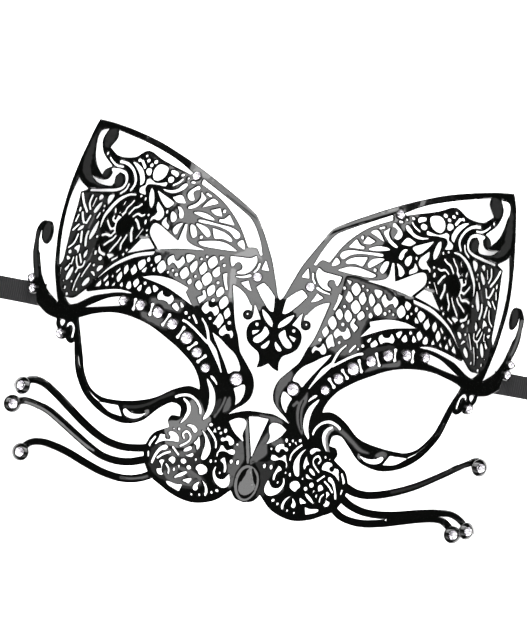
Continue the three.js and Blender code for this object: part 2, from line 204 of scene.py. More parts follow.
@dataclass(frozen=True)
class RibbonSizes:
    """Sizes of one tie, in millimetres."""

    width: float = 9.5
    thickness: float = 0.35
    length: float = 450.0
    start_x: float = 95.6
    left_y: float = -16.9
    right_y: float = -17.8
    depth_under_front: float = 2.2
    metal_edge_x: float = 105.0
    coil_centre_x: float = 158.0
    coil_radius: float = 28.4
    coil_pitch: float = 4.0
    turn_start_x: float = 112.0
    turn_reach: float = 32.0
    fall_reach: float = 8.0
    coil_turns: float = 3.0
    straight_step: float = 0.25
    coil_step: float = 0.01
    path_points: int = 451
    points_across: int = 5


@dataclass(frozen=True)
class PaintFinish:
    """Glossy black paint on the metal."""

    dark: tuple[float, float, float] = (0.0004, 0.0005, 0.0004)
    light: tuple[float, float, float] = (0.0009, 0.001, 0.0009)
    roughness_low: float = 0.1
    roughness_high: float = 0.14
    coat: float = 0.6
    tint_scale: float = 60.0
    gloss_scale: float = 120.0
    grain_scale: float = 700.0
    grain_height: float = 0.000004
    dent_scale: float = 260.0
    dent_height: float = 0.00013


@dataclass(frozen=True)
class CrystalFinish:
    """Clear glass with a mirror foil behind it."""

    index: float = 1.56
    roughness: float = 0.01
    polish_scale: float = 400.0
    polish_height: float = 0.000001
    foil_scale: float = 900.0
    foil_low: tuple[float, float, float] = (0.55, 0.53, 0.62)
    foil_high: tuple[float, float, float] = (1.0, 0.97, 0.96)
    foil_roughness: float = 0.12


@dataclass(frozen=True)
class RibbonFinish:
    """Black ribbon with fine ribs across it."""

    dark: tuple[float, float, float] = (0.0015, 0.0015, 0.0017)
    light: tuple[float, float, float] = (0.006, 0.006, 0.0065)
    roughness: float = 0.8
    rib_spacing: float = 0.9
    rib_waviness: float = 0.4
    rib_height: float = 0.0001


@dataclass(frozen=True)
class StudioSizes:
    """Camera, floor and surround, in metres, degrees and the camera's own millimetres."""

    yaw: float = 1.7
    roll: float = 10.7
    distance: float = 1.0
    reference_height: float = 0.03
    axis_x: float = -0.0050217
    axis_y: float = -0.0084347
    focal_length: float = 167.3
    floor_half: float = 2.5
    floor_greys: tuple[float, float] = (0.88, 0.9)
    floor_noise: float = 3.0
    floor_roughness: float = 0.9
    floor_shine: float = 0.1
    patch_scale: float = 2.2
    patch_range: tuple[float, float] = (0.38, 0.56)
    patch_light: tuple[float, float] = (0.25, 1.15)
    surround_light: float = 0.015


@dataclass(frozen=True)
class SoftLight:
    """A flat light that faces the floor, in metres, and whether gloss and glass show it."""

    name: str
    place: tuple[float, float, float]
    size: tuple[float, float]
    watts: float
    mirrored: bool = True


# Soft boxes beyond the ears and beyond the nose for the paint to mirror, and even light from overhead
LIGHTS = (
    SoftLight("soft_box", (0.0, 0.425, 1.25), (2.4, 0.55), 15.0),
    SoftLight("bright_box", (0.0, 0.97, 1.25), (2.4, 0.5), 24.5),
    SoftLight("dim_box", (0.0, -0.6, 1.25), (2.4, 0.5), 1.7),
    SoftLight("grey_box", (0.0, -1.25, 1.25), (2.4, 0.7), 11.0),
    SoftLight("overhead", (0.0, -0.2, 1.9), (5.0, 5.0), 330.0, mirrored=False),
)


# Line of the crease over the brows on each half, as places outwards and up. The metal above it leans back.
BROW_CREASE = {
    Side.LEFT: (
        (0, 0), (2.5, -0.5), (6, -5), (12, -12), (19, -5.5), (28, -6.5), (34, -10.5), (38, -5), (54, 8),
        (55, 90),
    ),
    Side.RIGHT: (
        (0, 0), (2.5, -0.5), (6, -5), (12, -12), (18, -12), (22, -4), (26, 0), (38, 6), (54, 12), (55, 90),
    ),
}

BOTH = (Side.LEFT, Side.RIGHT)
LEFT = (Side.LEFT,)
RIGHT = (Side.RIGHT,)

# Shallow waves in the sheet, each laid over those before it. X counts outwards. A shape is an outline, a
# stroke that starts with its width, or a round with its centre and one or two radii.
WAVES = (
    Wave(Tone.BLACK, 4.0, RIGHT, ((52, 56), (50, 46), (46, 40), (42, 33), (37.5, 31), (36.5, 26),
        (38.5, 20), (45, 13.6), (62, 10), (62, 54))),
    Wave(Tone.BLACK, 2.5, LEFT, ((46, 43), (64, 50), (64, 58), (46, 50.5))),
    Wave(Tone.GREY, 2.0, RIGHT, ((25, 13.2), (36, 12.8), (44, 10.6), (48, 5), (48, 0), (38, -0.5),
        (36, -4), (35, -9), (36, -13), (34, -17), (28, -18.8), (24, -17.5), (21, -16), (20.5, -12),
        (22.5, -4), (24, 6))),
    Wave(Tone.LIGHT, 1.5, RIGHT, ((17, 13), (23.5, 13.5), (23.5, 7), (21.8, 0), (20.5, -8),
        (18.8, -14.5), (14.5, -17), (15, -11), (17, -3), (18, 3))),
    Wave(Tone.BRIGHT, 1.5, LEFT, ((9.5, 12), (12, 17.5), (16, 18), (19, 15.5), (22, 13.7), (24, 12.8),
        (22, 11.5), (15, 13.2), (11, 14))),
    Wave(Tone.BRIGHT, 1.0, LEFT, ((19.4, 8), (21.7, 8), (21.4, 2), (20.6, -4), (19.2, -4))),
    Wave(Tone.BLACK, 0.7, RIGHT, (1.2, (11.5, 25.2), (14.3, 28.9), (18.2, 31.4), (24, 34.6), (32, 38.8),
        (40.5, 43.3))),
    Wave(Tone.BLACK, 0.7, LEFT, (0.7, (11.5, 25.2), (14.3, 28.9), (18.2, 31.4), (29, 37.2))),
    Wave(Tone.DIM, 2.0, BOTH, ((77, 28), (89, 28), (90.5, 12), (91.5, -4), (88, -14.5), (84, -15),
        (78, -9.5), (73, 1), (78, 6), (77, 13), (79.3, 20))),
    Wave(Tone.GREY, 0.6, LEFT, (0.8, (79.6, 27), (80.6, 21), (82.5, 14))),
    Wave(Tone.GREY, 0.6, LEFT, (0.7, (78.6, 6), (80, 1), (83, -3))),
    Wave(Tone.GREY, 0.6, RIGHT, (0.7, (80, 26), (80.5, 18), (82.6, 13))),
    Wave(Tone.GREY, 0.6, RIGHT, (0.8, (77.5, 2), (79, -4), (83, -8))),
    Wave(Tone.DIM, 0.9, BOTH, ((78.4, 57), (81.6, 56.4), (83.2, 52.5), (82.4, 48.6), (80.4, 48.4),
        (78.6, 51.5), (77.8, 54))),
    Wave(Tone.DIM, 1.5, BOTH, ((85.6, 58), (88.4, 52), (90.2, 44), (90.2, 37.4), (86, 32.8), (79, 31.9),
        (76.5, 33.4), (84, 35.2), (86.2, 38.6), (86.2, 44), (85.8, 51))),
    Wave(Tone.DIM, 0.8, BOTH, (73.8, 35.6, 1.9, 3.0)),
    Wave(Tone.DIM, 0.8, BOTH, ((78.2, 40.6), (80.6, 39.6), (81.6, 37), (79.6, 35.8), (78.4, 37.5))),
    Wave(Tone.DIM, 0.8, BOTH, (99.8, 9.4, 1.7, 4.2)),
    Wave(Tone.DIM, 0.6, LEFT, (1.4, (103.6, 9), (103.3, 2), (102, -4), (100.3, -9.5))),
    Wave(Tone.GREY, 0.7, RIGHT, (1.4, (103.4, 9), (103.1, 2), (101.9, -4), (100.3, -9.5))),
    Wave(Tone.DIM, 0.5, BOTH, (11.7, -9.1, 1.7)),
    Wave(Tone.GREY, 1.5, LEFT, ((38, -8), (45, -8.8), (51.5, -9.5), (51.5, -12), (44, -13.2),
        (38.5, -13))),
    Wave(Tone.GREY, 1.5, LEFT, ((41.5, -19), (45, -17), (50, -16), (54.5, -15.6), (54, -18),
        (48, -20.2), (43, -21))),
    Wave(Tone.DIM, 1.5, RIGHT, ((36, -16.5), (39, -13), (43, -12), (49, -10.5), (50, -12.5), (44, -14),
        (38.5, -18.5))),
    Wave(Tone.GREY, 0.8, RIGHT, ((39, -23.4), (41, -20.8), (46, -18.8), (50.5, -17.2), (52.8, -15.8),
        (53.2, -18.2), (46, -20.4))),
    Wave(Tone.GREY, 0.8, LEFT, ((12.7, -42.8), (13.9, -45), (14.3, -49.6), (12.4, -48.4),
        (11.6, -46.2))),
    Wave(Tone.GREY, 0.5, LEFT, (0.9, (14.4, -43.6), (15.3, -47.5), (17.3, -52))),
    Wave(Tone.DIM, 0.8, LEFT, ((15.9, -44.4), (18, -46), (18.8, -51.5), (17, -50.8), (16.1, -48))),
    Wave(Tone.GREY, 0.8, RIGHT, ((17.6, -35.4), (16.2, -38), (14.4, -41), (14.3, -45), (15.6, -49.5),
        (18.4, -53), (18.6, -51), (17.4, -47), (17.2, -42.5), (18.2, -39))),
    Wave(Tone.BLACK, 0.4, RIGHT, (0.5, (16.6, -39), (15.8, -43), (16.3, -47.5), (17.6, -51))),
    Wave(Tone.GREY, 0.5, RIGHT, (1.2, (12.7, -42), (14, -40.2))),
    Wave(Tone.GREY, 0.8, RIGHT, ((8.4, -27.2), (10.4, -29.3), (9.8, -32.8), (7.8, -35.8), (6.8, -38.5),
        (6.6, -42.5), (8.4, -46), (6, -44.6), (4.9, -41), (4.5, -37.5), (5.1, -33), (6.4, -30))),
    Wave(Tone.DIM, 0.8, LEFT, (1.0, (35, -45.8), (40, -48.8), (44.5, -52.2), (49, -54.3), (54, -55.2))),
    Wave(Tone.DIM, 0.6, LEFT, ((45.5, -58.2), (49, -58.6), (52.5, -57.8), (54, -55.8), (54.8, -57),
        (52.8, -59.2), (49, -60))),
    Wave(Tone.GREY, 0.8, RIGHT, ((29, -46), (33, -46.3), (37, -47.8), (41, -50.1), (45, -53),
        (48.4, -54.8), (44.5, -54.3), (40.5, -51.6), (37, -49.6), (33, -48.2), (29.5, -47.6))),
    Wave(Tone.GREY, 0.7, RIGHT, ((50.4, -55.6), (52.8, -53.7), (55.2, -54.5), (54.3, -57.2),
        (51.5, -58.6), (49.2, -58.4), (52.2, -57))),
    Wave(Tone.DIM, 4.0, LEFT, ((18, -58), (23, -64), (30, -66), (37, -66), (39.5, -71), (38.5, -77),
        (33, -80.5), (25, -79.5), (20, -73), (18, -66))),
    Wave(Tone.GREY, 2.5, LEFT, (25, -78.3, 8, 3.6)),
    Wave(Tone.GREY, 3.0, LEFT, ((21, -60), (25, -64), (36, -66), (37, -68.5), (30, -70.5), (24, -69),
        (21.5, -65))),
    Wave(Tone.LIGHT, 2.0, LEFT, ((18.5, -53), (21.5, -51), (23, -48.6), (25, -46.7), (28, -47.5),
        (28.2, -51), (31.5, -56.5), (35.2, -57), (36.2, -60.5), (34.8, -64.5), (36.5, -66.5), (33, -67.5),
        (29, -68), (25, -66), (21.5, -61.5), (19, -57))),
    Wave(Tone.LIGHT, 0.5, LEFT, (0.9, (63, -75.4), (66, -74.2), (72, -71.4), (80, -67.2), (86, -64.4),
        (92, -62.8), (95.6, -62.3))),
    Wave(Tone.GREY, 0.6, LEFT, (0.9, (39.5, -80.9), (42, -82.1), (46, -83.3), (50, -83.7))),
    Wave(Tone.DIM, 0.6, RIGHT, (0.8, (60, -69.8), (69.7, -66.4), (77.7, -62.7), (85.6, -58.3),
        (94, -53.6))),
    # The nose, with its ring and leaf. X counts to the right here.
    Wave(Tone.GREY, 0.7, RIGHT, ((0.3, -47.6), (4, -47.9), (8, -48.6), (9.5, -50.2), (8, -50.6),
        (4.5, -50.8), (3.9, -49.2), (0.5, -48.6))),
    Wave(Tone.GREY, 1.2, RIGHT, ((5.2, -57), (9.5, -56), (11, -58.5), (8.5, -60), (6, -59.5))),
    Wave(Tone.GREY, 0.8, LEFT, ((4.6, -59), (7.6, -61.5), (7, -66), (8.5, -69), (8, -74), (7, -78.5),
        (5.2, -77), (5, -72), (3.6, -69), (2.6, -66), (2.8, -62))),
    Wave(Tone.LIGHT, 0.5, LEFT, (1.3, (4.3, -51), (2.8, -58), (1.2, -65.5), (0.4, -68.5))),
    Wave(Tone.BLACK, 0.5, LEFT, (0.7, (5, -56), (3.2, -62), (2, -67))),
    Wave(Tone.GREY, 0.8, RIGHT, ((1.2, -61), (3.6, -55), (4.4, -53), (4.6, -57), (4.6, -60), (5, -63),
        (3, -65.6), (1, -67), (0, -68), (-0.4, -66), (0.4, -64))),
    Wave(Tone.DIM, 0.8, RIGHT, ((2, -66.4), (5, -66.2), (8, -65), (8.5, -70), (7, -74), (7.2, -79),
        (4.5, -80), (5, -75), (4, -70.5))),
    Wave(Tone.BLACK, 0.6, RIGHT, (-0.3, -75.2, 5.0, 7.7)),
    Wave(Tone.LIGHT, 0.4, RIGHT, (-0.3, -75.2, 4.5, 7.2)),
    Wave(Tone.BLACK, 0.4, RIGHT, (-0.1, -75.2, 3.5, 6.1)),
    Wave(Tone.LIGHT, 0.4, RIGHT, ((0.2, -69.2), (-1.6, -72), (-2.5, -74.5), (-3, -77), (-2.4, -79.2),
        (-0.2, -80.1), (1.9, -78.9), (3.2, -76.2), (2.4, -72.8), (1, -69.6))),
    Wave(Tone.LIGHT, 0.3, RIGHT, (0.6, (-0.4, -70.5), (-1.5, -73), (-2.3, -76), (-2.2, -78.4),
        (-0.8, -79.6))),
    Wave(Tone.BRIGHT, 0.5, RIGHT, ((0.6, 1.0, 1.2), (0.3, -69.4), (1.4, -73), (2.4, -77))),
    Wave(Tone.BLACK, 0.4, RIGHT, ((-0.8, -69.4), (-2, -72), (-2.4, -75), (-1.9, -74), (-1, -71.4))),
    Wave(Tone.BLACK, 0.4, RIGHT, ((1.1, -69), (2.3, -70.7), (3, -73.4), (2.8, -75), (2, -73.4))),
)

# Edges that catch the brightest light: a stroke along each
GLINTS = (
    Wave(Tone.GLINT, 0.3, BOTH, (1.0, (45, 12.3), (49, 11.3), (52.6, 10.3))),
    Wave(Tone.GLINT, 0.3, BOTH, (0.9, (44.6, -55.9), (47.5, -57.6), (51.5, -57.3))),
    Wave(Tone.GLINT, 0.3, BOTH, (0.9, (12.6, 26.6), (15.5, 31.3), (20, 34.3))),
    Wave(Tone.GLINT, 0.3, BOTH, (0.8, (57.4, 14.6), (60.3, 13.8))),
    Wave(Tone.GLINT, 0.3, RIGHT, (0.8, (31.2, -48), (29.9, -49.5), (29.2, -51.5), (29.6, -54),
        (30.7, -56.6))),
)

# Raised relief on the nose: outline, and +1 to raise it or -1 to sink it
NOSE_RELIEF = (
    ((-0.3, -75.2, 4.6, 7.3), 1.0),
    ((-0.3, -75.1, 3.4, 6.1), -1.0),
    (((-0.1, -69.2), (-1.6, -71.4), (-2.5, -74.5), (-2.4, -77.5), (-1.4, -79.1), (0.5, -79.7), (2.5, -78.9),
     (3.1, -76), (2.5, -72.8), (1, -69.9)), 1.0),
)

# The two halves aren't bent quite alike. Each entry is a centre, a reach and how far the right half's outline
# is moved there, growing from nothing at the middle line over the width of the fade.
MIDDLE_FADE = 5.0
RIGHT_HALF_BENDS = (
    ((88, 60), (16, 20), (3.2, 1.6)),
    ((68, 28), (16, 24), (2.4, 1.0)),
    ((84, -22), (14, 12), (1.2, 0.4)),
    ((40, -72), (9, 12), (-1.6, -0.9)),
    ((17, -76), (9, 16), (1.2, 0.2)),
    ((20, -8), (26, 24), (0.5, 0.1)),
    ((72, -2), (13, 13), (1.3, 0.1)),
    ((87, 24), (12, 24), (1.3, 0.3)),
    ((68, 44), (11, 9), (1.2, 0.2)),
    ((12, 24), (6, 12), (0.8, 0.2)),
    ((8, -58), (9, 18), (1.1, 0.8)),
    ((66, -18), (8, 6), (1.3, -0.2)),
    ((40, -54), (9, 9), (-0.8, -1.6)),
    ((78, -50), (18, 14), (-0.9, 0.6)),
    ((74, -38), (3.5, 12), (0.9, -0.1)),
    ((101, 8), (6, 12), (-0.3, 0.8)),
    ((94, 34), (6, 20), (0.6, 0)),
    ((96.5, 14), (2.2, 22), (0.7, 0)),
    ((78, -24), (5, 5), (0.8, 0.5)),
    ((103, -13), (5, 6), (-0.8, 1.2)),
)

# Outline of the sheet on one half, from the notch between the ears down to the bottom of the nose. X counts
# outwards from the middle. A third value of 1 marks a sharp corner; between corners the outline is smooth.
HALF_EDGE = (
    (0, -0.8, 1), (0.8, 0), (3.3, 7), (6, 14.3), (9, 20.5), (12, 26), (15.5, 31.3), (22, 35.6), (30, 40.2),
    (40, 45.6), (50, 50.4), (60, 54.5), (70, 57.4), (80, 59.5), (86.8, 60.2, 1), (88.5, 55), (90.3, 48),
    (92, 41), (94.3, 28), (95.3, 14), (95.1, 8), (93.8, -4), (92.5, -9), (90.2, -16.5), (89.2, -19.3, 1),
    (95.5, -14), (100.2, -5.1), (102.4, 5), (102.6, 7.5, 1), (104.3, 7.5, 1), (104.1, 0), (102.2, -8),
    (99.8, -15), (98.2, -20.8, 1), (93, -24.3), (88.6, -25.3, 1), (88.5, -27.5), (87.4, -29.5, 1),
    (84.4, -29.8, 1), (83.7, -31.8), (82.8, -33.4), (81.3, -34.2), (80.1, -33.4), (79.6, -32.4, 1),
    (78.6, -37.5), (76.3, -46.2), (72.8, -52.4), (68.3, -56.5), (60.6, -60.5), (53, -61.8), (46.3, -59.4),
    (40, -52.8), (35.2, -49.6), (31.6, -50.6), (31, -54.6, 1), (34.6, -54.9), (35.2, -57.6), (34.5, -59.6, 1),
    (40.4, -63.5), (43.2, -70, 1), (42.7, -72.2), (41.7, -75.5), (40.2, -78.3), (37.7, -81.1), (33.8, -83.3),
    (28, -86.1), (20, -87.5), (12, -84.9), (5.9, -78.9, 1), (3.6, -81.9), (0, -82.9, 1),
)

# The open middle between the star and the nose, and the slit over the nose, each drawn for one half
MIDDLE_OPENINGS = (
    ((0, -46.6, 1), (5, -47.1), (9, -48.5), (12.8, -50.2, 1), (10, -47.2), (7, -44.8), (4.8, -42), (4, -39),
     (4.2, -36), (5.5, -32.5), (7.5, -30), (10, -27), (12, -24.5), (13, -22), (14.3, -18), (15.7, -15),
     (17.2, -10), (18.2, -5.5), (19.9, 1.8, 1), (17, 0.7), (14.5, -1), (12.5, -3.3), (11.2, -5.2, 1),
     (10.4, -4.1, 1), (9.6, -4.6), (8.5, -6), (6.8, -9), (6.2, -10, 1), (8, -10.5), (10, -12), (11, -14.5),
     (10.8, -17), (9.8, -19.5), (7.5, -21.5), (5, -23), (4.2, -24.5), (3.9, -26.5), (4.3, -29.3, 1),
     (2.5, -28.6), (0, -26.8, 1)),
    ((0, -48.3, 1), (3.9, -48.9, 1), (2.4, -55), (0, -65, 1)),
)

# Openings cut through each half, by area
LARGE_CUTS = (
    ((25.2, -42.5, 1), (25.7, -40), (27.3, -36.5), (29.9, -33), (33.6, -29.9), (37.3, -27.3), (41.5, -24.9),
     (50, -20.7), (60, -18.4), (67, -18.5), (74, -20.4), (80, -23.2, 1), (77.9, -30), (75.4, -38),
     (72.9, -46.3), (69.8, -50.9), (64.8, -53.2), (60, -53.4), (52, -52.4), (43, -49.3), (35, -44),
     (29.5, -41.8)),
    ((44.3, 43.7, 1), (52, 48.3), (64, 52.9), (78.3, 56.7, 1), (78, 54), (80.5, 49, 1), (76, 46), (69, 46.5),
     (64, 50), (57, 47), (45, 43, 1)),
    ((10.3, 15.6, 1), (12.6, 21.8), (17.2, 29), (22, 32.3), (39.7, 42.1, 1), (40.1, 40.1, 1), (30, 34.5),
     (22, 26.5), (16.6, 17.8, 1), (13, 18), (11.2, 15.4, 1)),
    ((82, 57, 1), (85.7, 55.4), (86.5, 48), (84.8, 41), (81.5, 36.8, 1), (80.4, 39.4), (77.8, 41.1, 1),
     (82.6, 46.2), (84, 51.8)),
    ((91.2, 35, 1), (93.3, 25), (93.9, 12), (92.9, 0), (92.2, -3.7, 1), (90.9, -1), (90.5, 5), (90.2, 12),
     (89.3, 22), (88.9, 28.5, 1), (86, 30.2, 1), (89.4, 32.6)),
    ((33.6, 13.4, 1), (41.4, 16), (42.6, 22.7, 1), (43.6, 22.7, 1), (45.2, 15.3, 1), (56, 20.8), (57.4, 17),
     (52.6, 10.3, 1), (44, 12.2)),
    ((54, 10.6, 1), (57, 14.2, 1), (60.4, 13.4, 1), (65, 6.6, 1), (59, 8.9)),
    ((53.6, 9.4, 1), (62, 6.8), (70, 1), (77, -8, 1), (69.5, 0), (61, 5.6), (54, 8, 1)),
    ((37.4, -2.9, 1), (45, -0.6), (52, -0.5), (57, -1.8, 1), (46, -4.2), (34.4, -9.8, 1), (38.2, -4.8, 1)),
    ((59, -9.3, 1), (62, -8.7), (66, -8.6), (71, -9.7), (78.4, -11.9, 1), (78.8, -10.5, 1), (81, -12.9),
     (83.8, -15.5), (87.5, -15.9, 1), (84.6, -18.4), (82, -17.8), (79.6, -16.3), (77.5, -14.7), (75, -13.1),
     (70, -11.2), (65, -9.8)),
    ((63.5, -11.1, 1), (67.5, -12.1), (70.5, -13.4), (73.5, -15.3), (78.4, -18.6, 1), (71, -16.9),
     (63.5, -15.1, 1)),
)
STAR_CUTS = (
    ((2.5, 0.3, 1), (2, -3), (1.8, -6.1, 1), (3.2, -5.9), (7, -2), (10.4, 2.6, 1), (8.8, 4.1), (7.8, 4.8, 1),
     (5.5, 3.2)),
    ((6.5, 9.8, 1), (8.6, 14, 1), (9.2, 12), (9.7, 9.8, 1)),
    ((12.6, 15, 1), (13.6, 14.3), (15, 13.6), (18, 13.4), (23, 13, 1), (22.6, 11), (21.8, 8.9, 1), (21, 9.3),
     (20.5, 10.4), (19.5, 11.2), (18.3, 11), (17.5, 10), (17.4, 9), (18, 8), (19.2, 7.3), (19.3, 6.6, 1),
     (18, 6.5), (15.8, 7), (13.8, 8.6), (12.4, 11), (12, 13)),
    ((14, 4.6, 1), (16.9, 3.2, 1), (14.5, 1.5), (11.9, 0.4, 1), (13, 2.3)),
    ((1.1, -12.3, 1), (1.2, -10.5), (4, -7.2), (6.6, -5.7, 1), (5.4, -8.6), (3, -11.3)),
    ((3.9, -12.4), (2.3, -13.8), (1.9, -15), (3, -17), (4.5, -18.8), (6, -19.6), (7.6, -19.2), (7.8, -18),
     (6.3, -16.3), (4.9, -14.8), (4.3, -13)),
    ((5.7, -14.2, 1), (8.9, -14.9, 1), (8.4, -16.8, 1), (6.6, -15.4)),
    ((1.3, -17.7), (2.5, -18.8), (4.2, -20.8), (3.5, -21.4), (2.2, -21), (1.3, -19.5), (1, -18.2)),
)
LATTICE_CUTS = (
    ((20, -7.6, 1), (21.5, -10), (20.3, -12.7, 1), (18.6, -10.4)),
    ((22, -3.3), (24.1, -6.2), (22.8, -8.9), (20.3, -5.9)),
    ((22.8, -10.6), (24.3, -13.5), (25, -15.3), (23.6, -15.6), (22.6, -16.7), (21.4, -15), (20.8, -13.4)),
    ((20, -14.8), (22, -17.6), (21.5, -19.2), (20.2, -19.4), (19, -18.3), (17.6, -18.2), (16.7, -19.8),
     (16, -18.6), (16.9, -16.6), (18.4, -17.1), (19.5, -16)),
    ((23, 6.1, 1), (24.6, 5.3, 1), (24, 3), (22.4, -1, 1), (21.5, -0.7, 1), (22.5, 2.6)),
    ((25.1, 12.3, 1), (27.4, 12.1, 1), (26.7, 10.3, 1)),
    ((26.6, 8), (29, 5.3), (27.7, 3.4), (25.8, 4.9), (26.4, 6.6)),
    ((24.2, 0.1), (26, -2.4), (25, -4.3), (22.8, -2)),
    ((27.6, 0.3), (29.8, -1.8), (28.7, -4.6), (26.6, -2.4)),
    ((29.4, 11.8), (31.6, 9.3), (29.9, 6.6), (27.6, 9.2)),
    ((24.8, -7.8), (23.4, -10.3), (24.9, -12.1), (25.8, -10.9), (26.8, -10.4), (28.5, -11.9), (30.7, -10),
     (28.6, -6.7), (27.9, -8.6), (26.6, -9), (25.5, -8.4)),
    ((30.4, 4.8), (32.8, 2), (30.9, -0.7), (28.6, 2)),
    ((32.9, 8.7), (33.9, 7.2), (34.6, 5.9), (33.2, 3.4), (31.3, 5.8)),
    ((36.2, 8.7), (38.4, 5.8), (37.1, 3.5), (35.5, 6.2)),
    ((33.8, 0.9), (35, -1), (33, -2.9), (31.9, -1.3)),
    ((37.2, 1), (38.4, -0.2), (37.6, -1.4), (36.6, -0.6)),
    ((30.6, -2.5, 1), (31.7, -2.9, 1), (31, -4.6, 1), (33.2, -5.9, 1), (31.9, -8.4, 1), (29.6, -5.3)),
    ((37.2, 10.3), (39, 10.7), (40.8, 10.2), (39.4, 7.3)),
    ((42.1, 9.4), (40.8, 7.2), (43, 4.2), (44, 5.3), (45.6, 6.3), (47, 4.7), (48, 7.3), (45.9, 9.2),
     (45.2, 7.9), (44.3, 7), (43, 7.8)),
    ((40, 5.3), (42, 2.4), (40.3, 0.3), (38.2, 2.6)),
    ((49.7, 6.3), (51.7, 3.2), (49.8, 1), (47.9, 3.5)),
    ((51, 8.1), (53.3, 7), (52.3, 4.6), (50.7, 6.4)),
    ((57.2, 5.3), (59.7, 3.6), (58.3, 0.8), (56.4, 3.6)),
    ((55.8, 2.5), (57.6, 0.4), (56, 0.3)),
    ((60.9, 2.6), (61.6, 1.2), (62.2, 0.2), (61, -1.8), (59.4, 0.1)),
    ((63.8, 2), (65, 0.3), (64.3, -2.2), (62.9, -0.2)),
    ((65.7, -1.2), (67.4, -4), (66.3, -5.8), (65, -3.5)),
    ((67.5, -5.9), (68.8, -7.6), (67.4, -7.4)),
    ((70.5, -6), (71.6, -8), (69.8, -7.8)),
    ((73.6, -6.3), (75.3, -9), (73.1, -8.4)),
    ((61.2, -4.7), (62.2, -4.8), (62.7, -7.4), (60.6, -7.4)),
    ((64.6, -5.4), (65.6, -7), (64, -7.3)),
    ((58.6, -2.9), (60.2, -4.8), (59, -6.7), (57.6, -4.4)),
    ((56.5, -5), (58.2, -7), (56.8, -7.9), (56.2, -7)),
    ((53.4, -5.2), (54.6, -7.8), (53, -8.3), (51.9, -7.5)),
    ((51.8, -4.3), (50.9, -7.2), (49.3, -5.5)),
    ((43.7, -6.8), (42.3, -8.6), (43.8, -10.9), (45.3, -9.9), (47, -9.6), (48.8, -9.7), (49.4, -8),
     (47.6, -5.9), (47, -7.4), (46, -8), (44.6, -7.8)),
    ((41.3, -9.6), (42.8, -11.2), (40.2, -13), (39.4, -11.8), (40.4, -10.4)),
    ((37.7, -10.6), (39.6, -8.9), (39.3, -10.5), (38.6, -11.4)),
)
WING_CUTS = (
    ((20.4, 15.3, 1), (25, 17.6), (28.6, 18.1), (32.6, 17.6), (37, 16.3), (35.6, 15.2), (28, 14.9)),
    ((23.4, 19.1), (24.4, 20.4), (27, 21.9), (32.3, 23, 1), (31.4, 20.2), (30.6, 18.9), (27.5, 19.3),
     (24, 18.7)),
    ((39.3, 23.6), (35.6, 23.1), (33.5, 21.8), (32.6, 19.8), (33.4, 18.8), (34.6, 19.4), (37, 21.3)),
    ((41.3, 22.8), (39.6, 22.5), (38.2, 20), (38, 18.6), (39.2, 17.5), (40.4, 18.6), (41.2, 21)),
    ((44.5, 22.8), (46.6, 22), (48.3, 19.4), (47.2, 17.7), (46.2, 17.8), (45.5, 20.2)),
    ((19.4, 20.3), (21.2, 18.6), (18.8, 16.8), (17.8, 16.6), (18.2, 18.4)),
    ((38.5, 25.3), (30, 24.9), (24.5, 24.4), (21.4, 23), (20.6, 21.4), (21.8, 20.2), (23, 20.8), (25, 22.5),
     (29.5, 23.9), (38.5, 24.6)),
    ((41, 27.9), (39, 28.5), (36, 28.3), (33.4, 27.3), (31.9, 26.2), (36, 26.3)),
    ((26.5, 29.5, 1), (28.4, 27.4), (30.3, 26.9, 1), (30, 25.8, 1), (23.6, 25.5, 1)),
    ((30.7, 31.5, 1), (34.4, 30, 1), (32, 28.4), (29.2, 28.2, 1)),
    ((34.3, 34.8), (36, 33.4), (38.3, 30.2, 1), (34, 32.2), (31.8, 33.3), (32.8, 34.3)),
    ((39.5, 36.8), (39.2, 34.6), (40.6, 32), (43.8, 29.6), (43.4, 29), (41, 29.7), (38.6, 32), (37, 34.4),
     (38.2, 35.5)),
    ((41, 39), (43, 37.6), (44.8, 35.4), (44.6, 33.6), (43, 32.4), (41.6, 32.9), (42.3, 34.6), (42.6, 36),
     (41.6, 37), (40.3, 37.4), (40.2, 38.4)),
    ((49.9, 42.4), (51, 43.4), (53.2, 43.6), (53.2, 42.4), (51.6, 41.6), (50.4, 41)),
    ((46.3, 39.2), (47.8, 38.2), (49.4, 36.3), (52, 35.3), (55.4, 35.2), (53, 34.3), (50.4, 34.3),
     (48, 35.5), (46, 37.2), (45.5, 38.6)),
    ((47.2, 34), (50.8, 32.6, 1), (48.4, 30.8), (44.7, 30.9, 1)),
    ((57.5, 34.4, 1), (50, 30.6), (49.6, 30), (51.8, 27.9), (53, 28.3), (55.5, 31)),
    ((46.4, 28.9), (48, 29.2), (47, 27.4), (46.9, 26), (46.1, 24.5), (44.9, 24.8), (45.1, 27.2)),
    ((49.8, 26.8), (50.2, 24.8), (49.2, 22.5), (48, 22.7), (47.4, 24), (48, 25.8)),
    ((51.5, 24.3), (53.2, 21.3), (50, 19, 1), (49.8, 20.6), (51.2, 22)),
)
